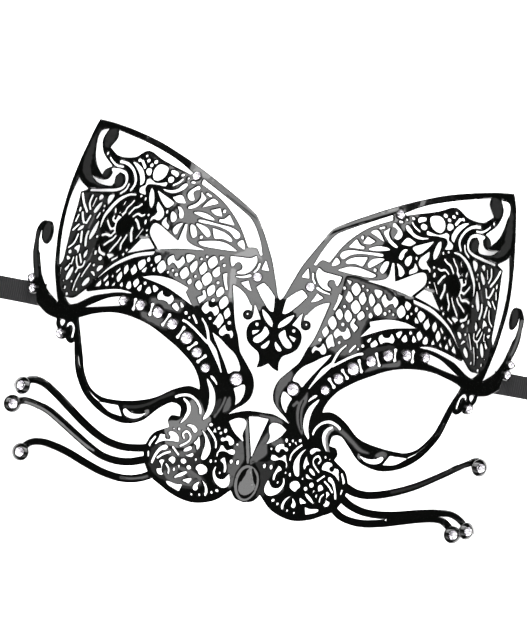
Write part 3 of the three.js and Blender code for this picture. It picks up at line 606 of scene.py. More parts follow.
EAR_CUTS = (
    ((61.3, 42.5), (63.2, 42.7), (63.7, 41.4), (62.6, 39.9), (61.4, 40)),
    ((54.7, 44.2), (58.3, 45.2), (60.2, 43.2), (60.5, 40), (59.4, 38.3), (57.3, 38.5), (55.4, 40.2),
     (54.6, 42.4)),
    ((54.1, 38.2), (56.5, 37.6), (59, 37.3), (61.5, 38.6), (62.6, 38), (62.9, 35.8), (64.8, 34.2),
     (64.8, 32.4), (62.6, 31.7), (61.8, 31.6), (62.4, 34.2), (61.6, 36), (58, 36.6), (54.2, 36.6)),
    ((69.8, 44.4), (67.5, 43.8), (65, 41.9), (63.7, 39.2), (63.3, 37.3), (63.8, 35.8), (64.9, 35.1),
     (65.3, 36.8), (65.8, 38.8), (66.9, 40.9), (68.6, 43)),
    ((74, 40.4), (77.7, 40.4, 1), (77.6, 38), (78.8, 35.8), (81, 35), (84, 35.4), (86.4, 36.8, 1),
     (83.5, 33.9), (80, 32.9), (76.6, 33.1), (75.7, 34.4, 1), (75.6, 37.2), (74.4, 38.9)),
    ((56.4, 29.9, 1), (54.5, 28), (53, 26), (53, 23.8), (54.6, 22.1), (56.6, 22.4), (58, 20.7, 1),
     (58, 22.6), (56.6, 24.1), (55.8, 25.6, 1), (56.6, 27.4)),
    ((60, 34.8), (60.4, 33.6), (60.3, 30.6), (59.4, 27.6), (58.4, 26.7), (57.8, 28.5), (58.1, 31.4),
     (59, 34)),
    ((70.1, 4.8), (73.2, 4.7), (71.8, 3.2)),
    ((73.7, 4.6), (75.5, 5.3), (77, 7.6), (77, 5.2), (75.5, 4.2), (74, 3.9)),
)
PANEL_CUTS = (
    ((74.6, 29.4), (76.8, 29), (77.3, 27), (76.6, 25.2), (75, 27.5)),
    ((79, 28), (80.3, 28.8), (81, 27.5), (80.6, 26.3), (79.4, 27)),
    ((79.2, 25.8), (80.4, 25), (82.2, 21.2), (81.4, 20.6), (79.2, 24.3)),
    ((88, 22.6), (88.5, 20.7), (87.9, 20), (87.3, 21)),
    ((79, 18), (80.4, 15.8), (82, 10.6), (81.6, 9.3), (80.4, 10.8), (79.2, 14.2)),
    ((84.9, 14.9), (86.2, 14.4), (87.6, 12.2), (85.4, 13.2)),
    ((81.5, 5.4), (82.9, 3), (82.4, 1.4), (81.4, 2.8)),
    ((85.1, 6.5), (86.4, 6), (87.4, 4.6), (86.2, 4.2), (85.4, 2.6), (84.9, 4.6)),
    ((87.9, 0.3), (89.8, 1.2), (89.5, -0.4), (88.6, -0.3)),
    ((88, -1.4), (87.7, -3), (88.9, -5.2), (89.8, -4.4), (88.6, -2.6)),
    ((86.2, -2.8), (85.8, -4.3), (87.6, -8.8), (88.5, -8.6), (88.4, -6.4), (87, -3.3)),
    ((78.6, -6), (79.6, -6.4), (81.2, -9.2), (80.9, -10.2), (79.6, -9.6), (78.2, -7.4)),
    ((76.4, -4.6), (77.2, -3.4), (78.7, -3.6), (77.6, -4.4), (76.6, -5.4)),
    ((73.7, -0.4), (75.6, -0.6), (76.2, -2.6), (75.4, -3)),
)
BROW_CUTS = (
    ((24.7, -18.5, 1), (20.5, -20.8), (17.5, -23.1), (14.4, -25.2), (12.3, -27.6), (10.7, -31),
     (10.8, -32.2, 1), (13.2, -32.6), (14.8, -34, 1), (15.4, -33.8, 1), (17.6, -29.9), (20.9, -24.8),
     (23.4, -21)),
    ((22.2, -36), (20.9, -36), (18.6, -38.8), (18.8, -39.4), (20.2, -38.2), (21.9, -36.7)),
    ((23.2, -37.3), (21.2, -39), (19.2, -41.8), (18.2, -45.5), (18.3, -49), (19.4, -52), (21.6, -54.4, 1),
     (22, -53.6), (21, -49.8), (20.9, -45.5), (21.6, -41.8), (23.2, -38.2)),
    ((7.8, -37), (7.2, -40), (8.2, -43.6), (10.2, -46, 1), (10.6, -42.6), (12, -39.2, 1), (10.4, -38.2),
     (9, -37.2)),
    ((43.8, -54.9, 1), (46.5, -56.6), (50.5, -57.2), (53.6, -55.8), (54.6, -56.6), (53.4, -58.6),
     (50.4, -59.3), (47, -58.2)),
    ((56.6, -55.2, 1), (65.4, -55.4, 1), (60, -58.6), (54.2, -59.4, 1)),
    ((85, -25.5), (87.3, -25.4), (87.2, -27.2), (86, -28), (85.2, -27)),
)
MUZZLE_CUTS = (
    ((4.3, -51.6), (5.6, -50.3), (8.5, -50.5), (11.6, -52.4, 1), (9, -56), (4, -59.6, 1), (5, -56.6),
     (4.3, -53.6)),
    ((23.1, -59.2), (23.2, -58.2), (24.6, -57.1), (26.8, -56.9), (28, -57.6), (26, -58.2), (25, -59.4),
     (24, -59.9)),
    ((29.8, -64.9), (29.9, -62.9), (31.6, -61.3), (33.8, -61.2), (34.8, -62), (36.2, -63), (37.6, -63.1),
     (38.2, -65.2), (39.1, -67.8), (36.7, -66), (34.4, -65.2), (31.4, -65)),
    ((33.6, -67.4), (34.6, -66.9), (36.6, -68), (38.4, -71), (39.3, -75.3), (38.6, -75.6), (37.6, -72.4),
     (36, -69.6), (33.8, -68.6)),
    ((29.6, -72.8), (29.8, -71.4), (31.2, -71), (32.6, -72.6), (31.4, -73.4), (30.4, -74)),
    ((16.4, -73), (17.8, -71.8), (20.2, -71.8), (21.4, -73.6), (20.3, -74.9), (19.6, -75.9), (17.8, -75.6),
     (16.5, -74.6)),
    ((23.9, -76), (24.8, -75.8), (27.4, -77.2), (29.2, -79.4), (27.8, -79), (25.4, -77.7)),
    ((21.8, -78), (25.6, -79.6), (24, -80.2), (22.8, -80.4)),
    ((25, -81.2, 1), (27, -81.6), (31.8, -81.2), (31.4, -82.3), (28.6, -83.6), (26, -84.4, 1),
     (25.4, -82.6)),
    ((17.8, -77.8), (15.6, -79.4), (14.6, -82), (15.2, -83.8), (16, -83.9), (16.2, -81.4), (17, -79.4),
     (18, -78)),
    ((18.4, -78.6), (19.4, -78.9), (21, -80.9), (20.8, -82.4), (19.6, -82.6), (18.6, -81.6), (19, -80.4)),
    ((7.6, -72.3, 1), (6.8, -76.8), (8, -78.6), (10, -79.1), (12.8, -77.6), (14.4, -74.4), (14.1, -71.7),
     (13.2, -70.9), (13.2, -73.6), (12, -75.5), (10, -75.6), (8.6, -73.8)),
    ((9.3, -72.8), (9, -71), (9.8, -68.4), (10.6, -66.9), (11.8, -67.4), (12.3, -68.4), (11, -69.4),
     (10.4, -70.9), (10.2, -72.8)),
    ((6.8, -64.6), (7, -63.2), (8.6, -63), (10.4, -63.9), (12, -62.4), (13, -62.4), (13.4, -64),
     (14.3, -66.4), (13.8, -67.6), (13.3, -67.2), (13.2, -65.6), (12, -64.8), (10.4, -64.6), (8.8, -65.2),
     (7.4, -65.2)),
    ((7.8, -60.6), (8.2, -59.4), (10.2, -58.2), (11.4, -58.2), (11.8, -59.2), (13.2, -59.3), (13.6, -60.3),
     (12.6, -61), (11.4, -60.4), (10.6, -60.2), (9.6, -61.8), (8.4, -61.6)),
    ((21.8, -57.9), (19.6, -59.3), (17.9, -61.6), (16.6, -64.3), (16.7, -67.2), (18.2, -69.7), (19.9, -69.6),
     (19.8, -66.9), (19.4, -64.3), (19.6, -61.6), (20.8, -59.3)),
    ((22.2, -60.4), (21.2, -63), (21.1, -65.4), (21.9, -66.6), (22.6, -65.4), (22.6, -64.8), (23.9, -64),
     (23, -62.8), (22.4, -61.2)),
    ((23.9, -66.2), (24.6, -65.4), (27, -67), (27.4, -68), (25.6, -67.8)),
    ((22.9, -68.2), (24, -68.2), (25.4, -69.2), (26.8, -69.4), (24.8, -69.8), (23.2, -69.6)),
    ((33.9, -73.2), (35, -73), (36.2, -74), (35.4, -74.8), (34.9, -76.6), (36.6, -77.2), (36, -78.8),
     (34.6, -79.4), (33.4, -78.8), (34.2, -77.8), (34.4, -75.6), (34.2, -74)),
)
HALF_CUTS = {
    "large": LARGE_CUTS, "star": STAR_CUTS, "lattice": LATTICE_CUTS, "wing": WING_CUTS, "ear": EAR_CUTS,
    "panel": PANEL_CUTS, "brow": BROW_CUTS, "muzzle": MUZZLE_CUTS,
}

# Narrow cuts: width or widths from end to end, then the middle line
HALF_STROKES = (
    (0.8, (10.8, 12), (11.2, 10), (12.3, 8.4)),
    ((1.2, 0.9, 0.5), (13.8, 6.6), (16.3, 5.6), (19.2, 5.2)),
    (0.9, (66.6, -0.4), (67.6, -1.7)),
    (1.1, (71.1, -4.4), (72.1, -6)),
    (0.8, (35.3, 35.6), (37, 36.4)),
    (0.9, (48, 40.5), (49.2, 39), (51.3, 37.5)),
    (1.3, (65.8, 45.3), (64.3, 42.8)),
    (1.2, (74.8, 43.7), (72, 43.3), (69.5, 41.7), (67.9, 39.4), (67.1, 36.8), (67.3, 34.8), (68.3, 32.6)),
    (0.9, (73.4, 41.6), (76, 41.8), (78.2, 43.2), (79.5, 44.6)),
    ((1.4, 1.3, 1.1), (77.5, 39.9), (74, 39.9), (71.8, 39), (70.9, 37), (71, 34.8), (72, 33), (74.5, 31.7),
     (78, 31), (82, 30.3), (84.9, 29.9)),
    (1.0, (69.6, 34.8), (70.3, 32.6), (72.3, 30.6)),
    ((0.7, 1.5, 1.5, 0.7), (65.8, 31), (68, 30.8), (70, 29.8), (72, 28.2), (74, 25.8), (75.7, 23),
     (77, 20.5), (77.7, 18), (78, 15.4)),
    (1.0, (62.7, 27.5), (64, 26.2), (65.2, 25.6), (66, 24.6), (67.1, 22.8)),
    (0.9, (66.1, 28.4), (67, 26.9), (68.4, 25), (68.9, 23.4), (70, 21.9)),
    (0.6, (69.5, 27.5), (70, 26.2)),
    (0.9, (73.1, 23.7), (72.9, 22.5)),
    (0.9, (70.9, 22.5), (71.5, 20.3), (72, 18.9)),
    (0.9, (73.1, 20.6), (73.4, 19.4), (72.3, 18.5)),
    (0.9, (60.8, 23.4), (62, 22.8), (63.4, 23.4), (64.7, 22.5), (65.3, 21.9)),
    (1.1, (64, 20.9), (63.1, 20), (62.5, 18.8), (61.9, 17.5)),
    (1.2, (64.7, 17.2), (64.9, 15.3), (64.5, 13.4), (64.2, 11.9)),
    (1.0, (66.5, 13.8), (67.2, 11.9), (68.1, 9.7), (68, 7.8)),
    (0.9, (68.7, 12.5), (69.7, 10.3), (70.9, 8.4), (72.2, 6.2)),
    (0.9, (70.9, 12.8), (71.9, 11.2), (73.4, 10), (75, 8.4)),
    (0.9, (71.9, 14.1), (73.1, 12.5), (75, 12.8), (76.6, 12.2)),
    (0.9, (71.9, 16.2), (73.4, 15.3), (74.7, 16.9), (75.5, 18.4)),
    (0.8, (68.7, 23.1), (70.3, 20.9), (71.6, 18.8), (71.9, 16.3), (71.6, 14.1)),
    (0.6, (60.3, 17.5), (62.4, 13.3)),
    (0.8, (68.6, 4.2), (70.6, 2.7)),
    (0.7, (82, 27), (82.9, 23.3)),
    (1.0, (83.8, 27.8), (84.4, 24.5), (83.7, 22)),
    (1.1, (88.2, 27.8), (87, 24.3), (84.9, 20.7)),
    (0.9, (79.3, 20.9), (80.2, 18.8)),
    (1.0, (83.1, 19.2), (84.2, 16)),
    (1.1, (86.7, 20), (86, 17.5), (85.3, 16)),
    (0.9, (88.1, 18.8), (88.9, 16)),
    (1.0, (87.3, 14.8), (89.3, 12.2)),
    (1.2, (82.7, 12.5), (83.1, 10), (82.8, 6.8)),
    (1.1, (85.4, 12), (85.2, 9.5), (85, 7.8)),
    (0.9, (86.7, 10.8), (87.4, 8), (88.2, 6.3), (89.7, 4.7)),
    (1.0, (84.4, 2.5), (83.2, -0.5)),
    (0.9, (81.8, 0.2), (82.3, -2), (84, -2.8), (85.2, -0.5), (85.6, 1.5)),
    (0.9, (84, -2.8), (84.8, -5)),
    (0.8, (86.8, 1), (87.2, -1.8)),
    (0.8, (79.3, -0.3), (80.7, -3.3), (81.9, -6.3)),
    (0.9, (82.9, -5.3), (84, -8.7), (84.6, -12.6)),
    (0.6, (91.3, -3.8), (91, -7.2)),
    ((0.6, 1.4, 2.3, 1.8), (18, -33.9), (19.9, -30.3), (22.4, -26.1), (25.2, -22.8)),
    ((1.3, 1.3, 0.8), (25.3, -22.8), (26.2, -19.5), (27.6, -16.5), (29.6, -14)),
    (1.2, (25.8, -23.2), (29, -20.8), (32.5, -18.3), (35.5, -16.6), (37, -16.2)),
    (1.1, (31.5, -16.2), (32.4, -14.8), (33.4, -13.5)),
    (1.3, (81, -31.4), (80.9, -29), (81.2, -27.2), (82.3, -26.2), (83.4, -26.5), (83.7, -27.3)),
    (0.7, (76.9, -38.9), (75.3, -43.3), (73.3, -47.3), (71, -50.8), (68, -53.6), (65, -55.2)),
    (1.2, (23.2, -51.6), (23.8, -49.5), (26, -46.8), (29, -45.5), (32, -46), (34.2, -47.1)),
    ((1, 1.8, 1.6, 0.6), (30.8, -47.3), (28.9, -48.8), (28, -51.3), (28.7, -54.2), (30.3, -57)),
    (0.95, (27.9, -62.8), (28.6, -61.4), (27.3, -59.9), (25.5, -61.4), (25.5, -63.1), (27, -64.9),
     (28.8, -66.2)),
    ((1, 1.2, 0.8), (39.4, -64.6), (40.7, -67), (41.3, -69.3), (40.8, -72.8)),
    (1.0, (32.4, -69.4), (34.8, -70.7), (37, -72.7)),
    (1.0, (28.9, -69.8), (31.6, -67.3)),
    (1.1, (19.2, -57), (16.8, -59.3), (15.2, -61.6), (14.8, -63.8)),
    (0.9, (33, -74.6), (31.8, -76), (31.5, -78)),
)

# Round cuts: centre and one or two radii
HALF_ROUNDS = (
    (7.4, -12.2, 0.75), (18.5, -13.7, 0.8), (24.8, 8.8, 0.6), (26, 1.4, 0.6), (26.6, -5.9, 0.75),
    (26.5, -13.4, 0.7), (32.3, 11, 0.55), (34.4, 9.7, 0.5), (35.5, 2.3, 0.55), (43.3, 1.6, 0.75),
    (45, 3, 0.55), (46.8, 1.9, 0.55), (54, 3.5, 0.5), (52.7, 1.9, 0.6, 0.9), (55.6, 5.6, 0.7, 1),
    (69, -3.8, 0.5), (55.2, -4.2, 0.7), (36.5, -13, 0.8), (36.1, 18.4, 0.75), (28.7, 30.5, 0.65, 0.85),
    (43.4, 40, 1, 0.55), (45.7, 41.3, 0.5), (48.2, 42.3, 0.8, 0.6), (52.7, 39.6, 1.35),
    (51.8, 26.2, 0.5, 0.8), (64.4, 47.7, 0.6), (60.2, 45.8, 0.9), (63.3, 45.9, 0.8), (61.7, 44.2, 0.8),
    (67.1, 45.5, 0.75), (80.9, 46.3, 0.6, 0.8), (63.6, 30.8, 0.6), (61.6, 30, 0.5, 0.8), (59.1, 23.6, 0.6),
    (59.8, 20.6, 0.6, 1.1), (58.6, 17.2, 0.5), (58.3, 15.3, 0.5), (65.3, 7.8, 0.6), (66.4, 5.8, 0.6),
    (78, 4.5, 0.6, 1), (75.6, 2.5, 0.9), (78.6, 11.2, 0.6), (78, 24.2, 0.55), (78, 22.3, 0.5),
    (88.8, 3, 0.85), (77.7, -0.7, 0.6), (83, -12, 0.6, 0.9), (85.7, -9, 0.6), (88, -12, 0.6, 1),
    (86.7, -14.5, 0.8), (89.2, -9.3, 0.45), (34.8, -14.6, 0.6), (30.5, -59.6, 0.65), (32.6, -59.9, 0.4),
    (26.4, -72, 1.3, 1.1), (23.9, -74, 1.1, 0.9), (11.3, -80.6, 0.9, 0.7), (13.3, -81.8, 0.7),
    (17.8, -83.9, 0.65), (20.9, -84.4, 0.6), (11.5, -73.4, 0.65), (6.5, -60.8, 0.6), (5.2, -67.7, 0.75, 1),
    (7.8, -67.9, 0.8, 1), (12.1, -56.5, 0.8, 1), (14.9, -56.1, 0.7), (13.8, -57.8, 0.7), (16.3, -57.1, 0.35),
    (18.2, -55.3, 0.9, 0.75), (13.9, -69.2, 0.6), (15.8, -69.6, 0.7, 0.9), (21.7, -70.3, 0.6),
    (29.6, -76, 0.6, 0.8), (27.7, -74.9, 0.35),
)

# The bone-shaped cuts between the brow's crystals, from the middle of one round end to the other, with the
# half width of their waist and how much is added to it at the ends
BONE_WAIST = 0.5
BONE_FLARE = 0.38
BONE_POINTS = 9
BONE_STEP = 0.2
BROW_BONES = (
    ((25.6, -28.8), (28, -31.4)), ((30.2, -24.3), (32.7, -26.9)), ((36.2, -19.2), (38, -23.2)),
    ((42.9, -15.2), (44.9, -19.4)), ((50.5, -12.2), (50.9, -16.3)), ((57.8, -11.6), (58, -15.4)),
)

# Metal that stands in an opening or beyond the outline, as strokes and rounds
ADDED_STROKES = (
    (2.0, (103.4, 6.5), (103.2, 10), (101.5, 13.2), (99.8, 12.8)),
    ((1.3, 1.0, 1.0), (10.8, -3.4), (10.1, -6), (10.1, -8.6)),
    ((0.8, 1.6), (35.5, -61.5), (34.6, -63.4)),
)
ADDED_ROUNDS = (
    (99.8, 9.4, 2.2, 5.0), (102.3, -10.6, 2.0), (101.2, -14.8, 2.2), (85.8, -31, 2.3), (11.7, -9.1, 2.0),
    (34.4, -63.7, 1.0), (33.2, -57, 2.3),
)
# Hole in the curl beside the star, cut after that metal is added
CURL_HOLE = (11.9, -8.8, 0.45)

# Whiskers: widths from the cheek to the tip, middle line, centre of the cup at the tip and the cup's lean
# outwards in degrees
WHISKERS = {
    Side.LEFT: (
        ((3.0, 2.9, 2.9, 2.4), ((42.3, -69.8), (45.8, -70.6), (51.8, -71.3), (57.8, -70.6), (63.8, -68.4),
         (69.7, -65.3), (75.7, -61.6), (81.7, -57.7), (85.7, -55.3), (89.6, -53.3), (93.6, -52.6),
         (96.6, -53.4)),
         (98.4, -55.6), 28),
        ((3.0, 2.9, 3.1, 2.7), ((41.8, -74.5), (47.8, -76.7), (53.8, -77.4), (59.8, -76.6), (65.7, -74.2),
         (71.7, -71.1), (79.7, -66.9), (85.7, -64), (91.6, -62.3), (95.6, -61.8), (98.1, -62.4)),
         (100.5, -63.9), -20),
        ((3.0, 2.9, 3.0, 2.8), ((38.9, -80.3), (41.8, -81.9), (45.8, -83.3), (50.8, -83.9), (57.8, -83.2),
         (65.7, -81.2), (73.7, -78.9), (79.7, -77.8), (85.7, -77.4), (89.6, -78.2), (92.1, -80)),
         (94, -83.2), 17),
    ),
    Side.RIGHT: (
        ((3.2, 2.8, 2.2, 2.1), ((42.3, -69.8), (45.8, -71.6), (49.8, -72.3), (53.8, -71.9), (59.7, -70.3),
         (69.7, -66.7), (77.7, -63), (85.6, -58.8), (92, -54.4), (96.6, -52.2)), (97.4, -54.4), 24),
        ((3.1, 3.0, 2.7, 2.6), ((41.8, -74.7), (44.8, -77.1), (49.8, -79.2), (55.7, -79.7), (63.7, -78.9),
         (73.7, -77.2), (83.6, -76.1), (89.6, -76.1), (93.9, -78.1)), (96.9, -81.5), 30),
        ((3.1, 3.0, 2.7, 2.7), ((38.8, -80.1), (41.8, -82.4), (45.8, -83.7), (50.8, -84.1), (57.7, -83.1),
         (65.7, -81.4), (73.7, -79.9), (81.6, -79), (86.6, -79.5), (89.1, -81.3)), (91.2, -84.2), 14),
    ),
}

# Crystals on each half: place and radius, named as the CAD nodes are
CRYSTALS = {
    "brow": (
        (62.2, -13, 1.75), (54.9, -13.5, 1.95), (47.3, -15, 2.1), (40.7, -18.5, 2.05), (34, -22.9, 2.3),
        (28.9, -27.9, 1.9), (24.4, -33.4, 1.65),
    ),
    "ear": ((42.2, 42.7, 1.7),),
    "forehead": ((10.6, 6.5, 1.7),),
    "nose": ((11.3, -35.6, 2.3),),
    "scroll": ((101.9, -10.6, 1.5), (100.9, -14.8, 1.7)),
    "temple": ((85.8, -31, 1.7),),
}


def smooth_step(value: np.ndarray) -> np.ndarray:
    """Smooth rise from 0 to 1: t * t * (3 - 2 * t), with t the value kept within 0 and 1."""
    t = np.clip(value, 0.0, 1.0)
    return t * t * (3.0 - 2.0 * t)


def unit(vectors: np.ndarray) -> np.ndarray:
    """Vectors brought to length 1."""
    return vectors / np.maximum(np.linalg.norm(vectors, axis=-1, keepdims=True), 1e-12)


def length_along(line: np.ndarray) -> np.ndarray:
    """Length along a line up to each of its points."""
    return np.concatenate([[0.0], np.cumsum(np.linalg.norm(np.diff(line, axis=0), axis=1))])


@dataclass(frozen=True)
class FaceSurface:
    """Front face of the bent sheet, as a height over each place of the drawing."""

    sizes: MaskSizes

    def height(self, x: np.ndarray, y: np.ndarray) -> np.ndarray:
        """Height of the front face: a parabola across the face, plus the nose, less the ears' lean.

        It drops towards the whiskers and is lifted a little at the temples.

        Args:
            x: Places across, in millimetres.
            y: Places up, in millimetres.

        Returns:
            Heights over the surface that the mask lies on, in millimetres.
        """
        s = self.sizes
        out = np.abs(x)
        arch = s.arch_height * (1.0 - (x / s.arch_half_width) ** 2)
        from_nose = (x / s.nose_spread_x) ** 2 + ((y - s.nose_centre_y) / s.nose_spread_y) ** 2
        nose = s.nose_rise * np.exp(-from_nose)
        above = np.maximum(0.0, y + s.brow_crease_slope * np.minimum(out, s.brow_crease_reach_x))
        lean = s.ear_lean_slope * above + s.ear_lean_curve * above**2
        reach = np.clip((out - s.whisker_drop_start_x) / s.whisker_drop_reach, 0.0, 1.0)
        whisker = 1.0 - smooth_step((s.whisker_drop_start_y - y) / s.whisker_drop_rise) * reach**2
        lift = smooth_step((s.temple_top_y - y) / s.temple_top_fade)
        lift = lift * smooth_step((y - s.temple_low_y) / s.temple_fade)
        lift = lift * smooth_step((out - s.temple_start_x) / s.temple_fade)
        return s.sheet_thickness + np.maximum(0.0, arch + nose - lean) * whisker + s.temple_lift * lift

    def normal(self, x: np.ndarray, y: np.ndarray) -> np.ndarray:
        """Direction that the front face looks in.

        Args:
            x: Places across, in millimetres.
            y: Places up, in millimetres.

        Returns:
            One unit vector a place.
        """
        step = 0.25
        slope_x = (self.height(x + step, y) - self.height(x - step, y)) / (2.0 * step)
        slope_y = (self.height(x, y + step) - self.height(x, y - step)) / (2.0 * step)
        return unit(np.stack([-slope_x, -slope_y, np.ones_like(slope_x)], axis=-1))

    def shading_normal(self, places: np.ndarray, drawn: np.ndarray, waves: "WaveMap") -> np.ndarray:
        """Direction that the paint's shading looks in, with the sheet's shallow waves added.

        The slope along X is the bend round the face. The slope along Y is the ears' lean above the crease
        over the brows, and nothing below it.

        Args:
            places: Places on the finished sheet, in millimetres.
            drawn: The same places before the right half is bent.
            waves: The shallow waves.

        Returns:
            One unit vector a place.
        """
        s = self.sizes
        x, y = places.T
        slope_x = -2.0 * s.arch_height * x / s.arch_half_width**2
        left, right = (np.array(BROW_CREASE[side]).T for side in (Side.LEFT, Side.RIGHT))
        out = np.abs(drawn[:, 0])
        crease = np.where(drawn[:, 0] < 0.0, np.interp(out, *left), np.interp(out, *right))
        lean = s.ear_lean_slope + 2.0 * s.ear_lean_curve * np.maximum(0.0, y - s.ear_lean_start_y)
        slope_y = -lean * smooth_step((drawn[:, 1] - crease) / s.crease_softness + 0.5)
        slopes = waves.laid_over(drawn, np.stack([slope_x, slope_y], axis=1))
        return unit(np.column_stack([-slopes, np.ones(len(slopes))]))

    def place(self, x: np.ndarray, y: np.ndarray, depth: np.ndarray | float) -> np.ndarray:
        """Points at a depth under the front face.

        Args:
            x: Places across, in millimetres.
            y: Places up, in millimetres.
            depth: Distance behind the front face along its normal, in millimetres.

        Returns:
            Points in the record's frame, in metres.
        """
        front = np.stack([x, y, self.height(x, y)], axis=-1)
        points = front - np.reshape(depth, (-1, 1)) * self.normal(x, y)
        points[:, 1] += self.sizes.origin_shift_y
        return points * MM


def bend_right_half(points: np.ndarray) -> np.ndarray:
    """Moves the right half's outline smoothly, by the sum of move * exp(-((p - centre) / reach)^2).

    Args:
        points: Places in the drawing, of both halves.

    Returns:
        The moved places.
    """
    moved = points.copy()
    on_right = smooth_step(points[:, :1] / MIDDLE_FADE)
    for centre, reach, move in RIGHT_HALF_BENDS:
        away = (points - np.array(centre)) / np.array(reach)
        weight = np.exp(-np.sum(away**2, axis=1, keepdims=True)) * on_right
        moved += weight * np.array(move)
    return moved


def smooth_line(points: np.ndarray, step: float, closed: bool = False) -> np.ndarray:
    """Points along the smooth curve through a run of points.

    The curve is a Hermite cubic on each span, h00 P1 + h10 d m1 + h01 P2 + h11 d m2, with d the square root
    of the span's length and m the slopes of a parabola through each point and its neighbours.

    Args:
        points: The run's points. A closed run ends with its first point.
        step: Greatest distance between the points returned.
        closed: True where the run closes smoothly on itself.

    Returns:
        Points along the curve, from the first point to the last.
    """
    p = np.asarray(points, dtype=float)
    if closed:
        p = np.vstack([p[-2], p, p[1]])
    gap = np.diff(p, axis=0)
    d = np.sqrt(np.linalg.norm(gap, axis=1, keepdims=True))
    chord = gap / d
    inner = (chord[:-1] * d[1:] + chord[1:] * d[:-1]) / (d[:-1] + d[1:])
    slope = inner if closed else np.vstack([chord[0], inner, chord[-1]])
    if closed:
        p = p[1:-1]
        d = d[1:-1]
    counts = np.maximum(1, np.ceil(d[:, 0] ** 2 / step)).astype(int)
    span = np.repeat(np.arange(len(counts)), counts)
    first = np.repeat(np.cumsum(counts) - counts, counts)
    t = ((np.arange(len(span)) - first) / counts[span])[:, None]
    curve = (
        (2 * t**3 - 3 * t**2 + 1) * p[span]
        + (t**3 - 2 * t**2 + t) * d[span] * slope[span]
        + (3 * t**2 - 2 * t**3) * p[span + 1]
        + (t**3 - t**2) * d[span] * slope[span + 1]
    )
    return np.vstack([curve, p[-1]])


def outline_loop(points: tuple, step: float, closed: bool = True) -> np.ndarray:
    """Closed or open outline through points, smooth between those marked as corners.

    Args:
        points: Pairs of coordinates, with a third value of 1 at a sharp corner.
        step: Greatest distance between the points returned.
        closed: False for an outline that ends at its last point.

    Returns:
        Points of the outline. A closed one doesn't repeat its first point.
    """
    marks = [len(point) == 3 for point in points]
    flat = np.array([point[:2] for point in points], dtype=float)
    if closed and not any(marks):
        return smooth_line(np.vstack([flat, flat[0]]), step, closed=True)[:-1]
    start = marks.index(True)
    flat = np.roll(flat, -start, axis=0)
    corners = [i for i, mark in enumerate(marks[start:] + marks[:start]) if mark]
    if closed:
        flat = np.vstack([flat, flat[0]])
        corners.append(len(flat) - 1)
    runs = [smooth_line(flat[a : b + 1], step)[:-1] for a, b in zip(corners, corners[1:])]
    return np.vstack(runs if closed else [*runs, flat[-1:]])


def stroke_loop(stroke: tuple, step: float) -> np.ndarray:
    """Outline of a band with round ends along a smooth line.

    The sides lie at line +/- half width * normal, and each end is a half circle.

    Args:
        stroke: Width, or widths at even steps along it, followed by the points of the middle line.
        step: Greatest distance between the points along the line.

    Returns:
        Points of the closed outline.
    """
    widths = np.atleast_1d(stroke[0]).astype(float)
    line = smooth_line(np.array(stroke[1:], dtype=float), step)
    along = length_along(line)
    half = np.interp(along / along[-1], np.linspace(0.0, 1.0, len(widths)), widths)[:, None] / 2.0
    tangent = unit(np.gradient(line, axis=0))
    normal = tangent[:, ::-1] * (-1.0, 1.0)
    turn = np.linspace(0.0, math.pi, END_POINTS)[1:-1, None]
    far_end = line[-1] + half[-1] * (np.cos(turn) * normal[-1] + np.sin(turn) * tangent[-1])
    near_end = line[0] - half[0] * (np.cos(turn) * normal[0] + np.sin(turn) * tangent[0])
    return np.vstack([line + half * normal, far_end, (line - half * normal)[::-1], near_end])


def round_loop(place: tuple) -> np.ndarray:
    """Closed outline of a circle or ellipse from its centre and radii, as centre + radii * (cos a, sin a)."""
    angle = np.linspace(0.0, 2.0 * math.pi, ROUND_POINTS, endpoint=False)
    return np.stack([place[0] + place[2] * np.cos(angle), place[1] + place[-1] * np.sin(angle)], axis=1)


def bone_loop(ends: tuple) -> np.ndarray:
    """Closed outline of a bone-shaped cut, by its half width waist + flare * |2t - 1|^3 along the line.

    Args:
        ends: Middles of its two round ends.

    Returns:
        Points of the closed outline.
    """
    t = np.linspace(0.0, 1.0, BONE_POINTS)
    line = np.array(ends[0]) + t[:, None] * (np.array(ends[1]) - np.array(ends[0]))
    widths = 2.0 * (BONE_WAIST + BONE_FLARE * np.abs(2.0 * t - 1.0) ** 3)
    return stroke_loop((tuple(widths), *map(tuple, line)), BONE_STEP)


def any_loop(shape: tuple, step: float) -> np.ndarray:
    """Closed outline of a shape given as an outline, a stroke or a round.

    Args:
        shape: Points; or a width, or widths, followed by points; or a centre and radii.
        step: Greatest distance between the points along a smooth line.

    Returns:
        Points of the closed outline.
    """
    if not isinstance(shape[-1], tuple):
        return round_loop(shape)
    if not isinstance(shape[0], tuple) or len(shape[0]) == 3:
        return stroke_loop(shape, step)
    return outline_loop(shape, step)


def depth_inside(points: np.ndarray, loop: np.ndarray) -> np.ndarray:
    """Distance from each point to a closed outline, counted negative outside it.

    The distance to an edge from a to a + e is |p - a - t e| with t = (p - a).e / e.e kept within 0 and 1.
    A point is inside where a line to its right crosses the outline an odd number of times.

    Args:
        points: Places in millimetres.
        loop: Points of the outline.

    Returns:
        Distances in millimetres.
    """
    edge = np.roll(loop, -1, axis=0) - loop
    away = points[:, None] - loop
    length = np.maximum(np.sum(edge**2, axis=1), 1e-9)
    t = np.clip(np.sum(away * edge, axis=2) / length, 0.0, 1.0)
    distance = np.min(np.linalg.norm(away - t[..., None] * edge, axis=2), axis=1)
    end = away - edge
    passes = (away[..., 1] > 0.0) != (end[..., 1] > 0.0)
    turn = away[..., 0] * edge[:, 1] - away[..., 1] * edge[:, 0]
    to_right = (turn < 0.0) == (edge[:, 1] > 0.0)
    inside = np.sum(passes & to_right, axis=1) % 2 == 1
    return np.where(inside, distance, -distance)


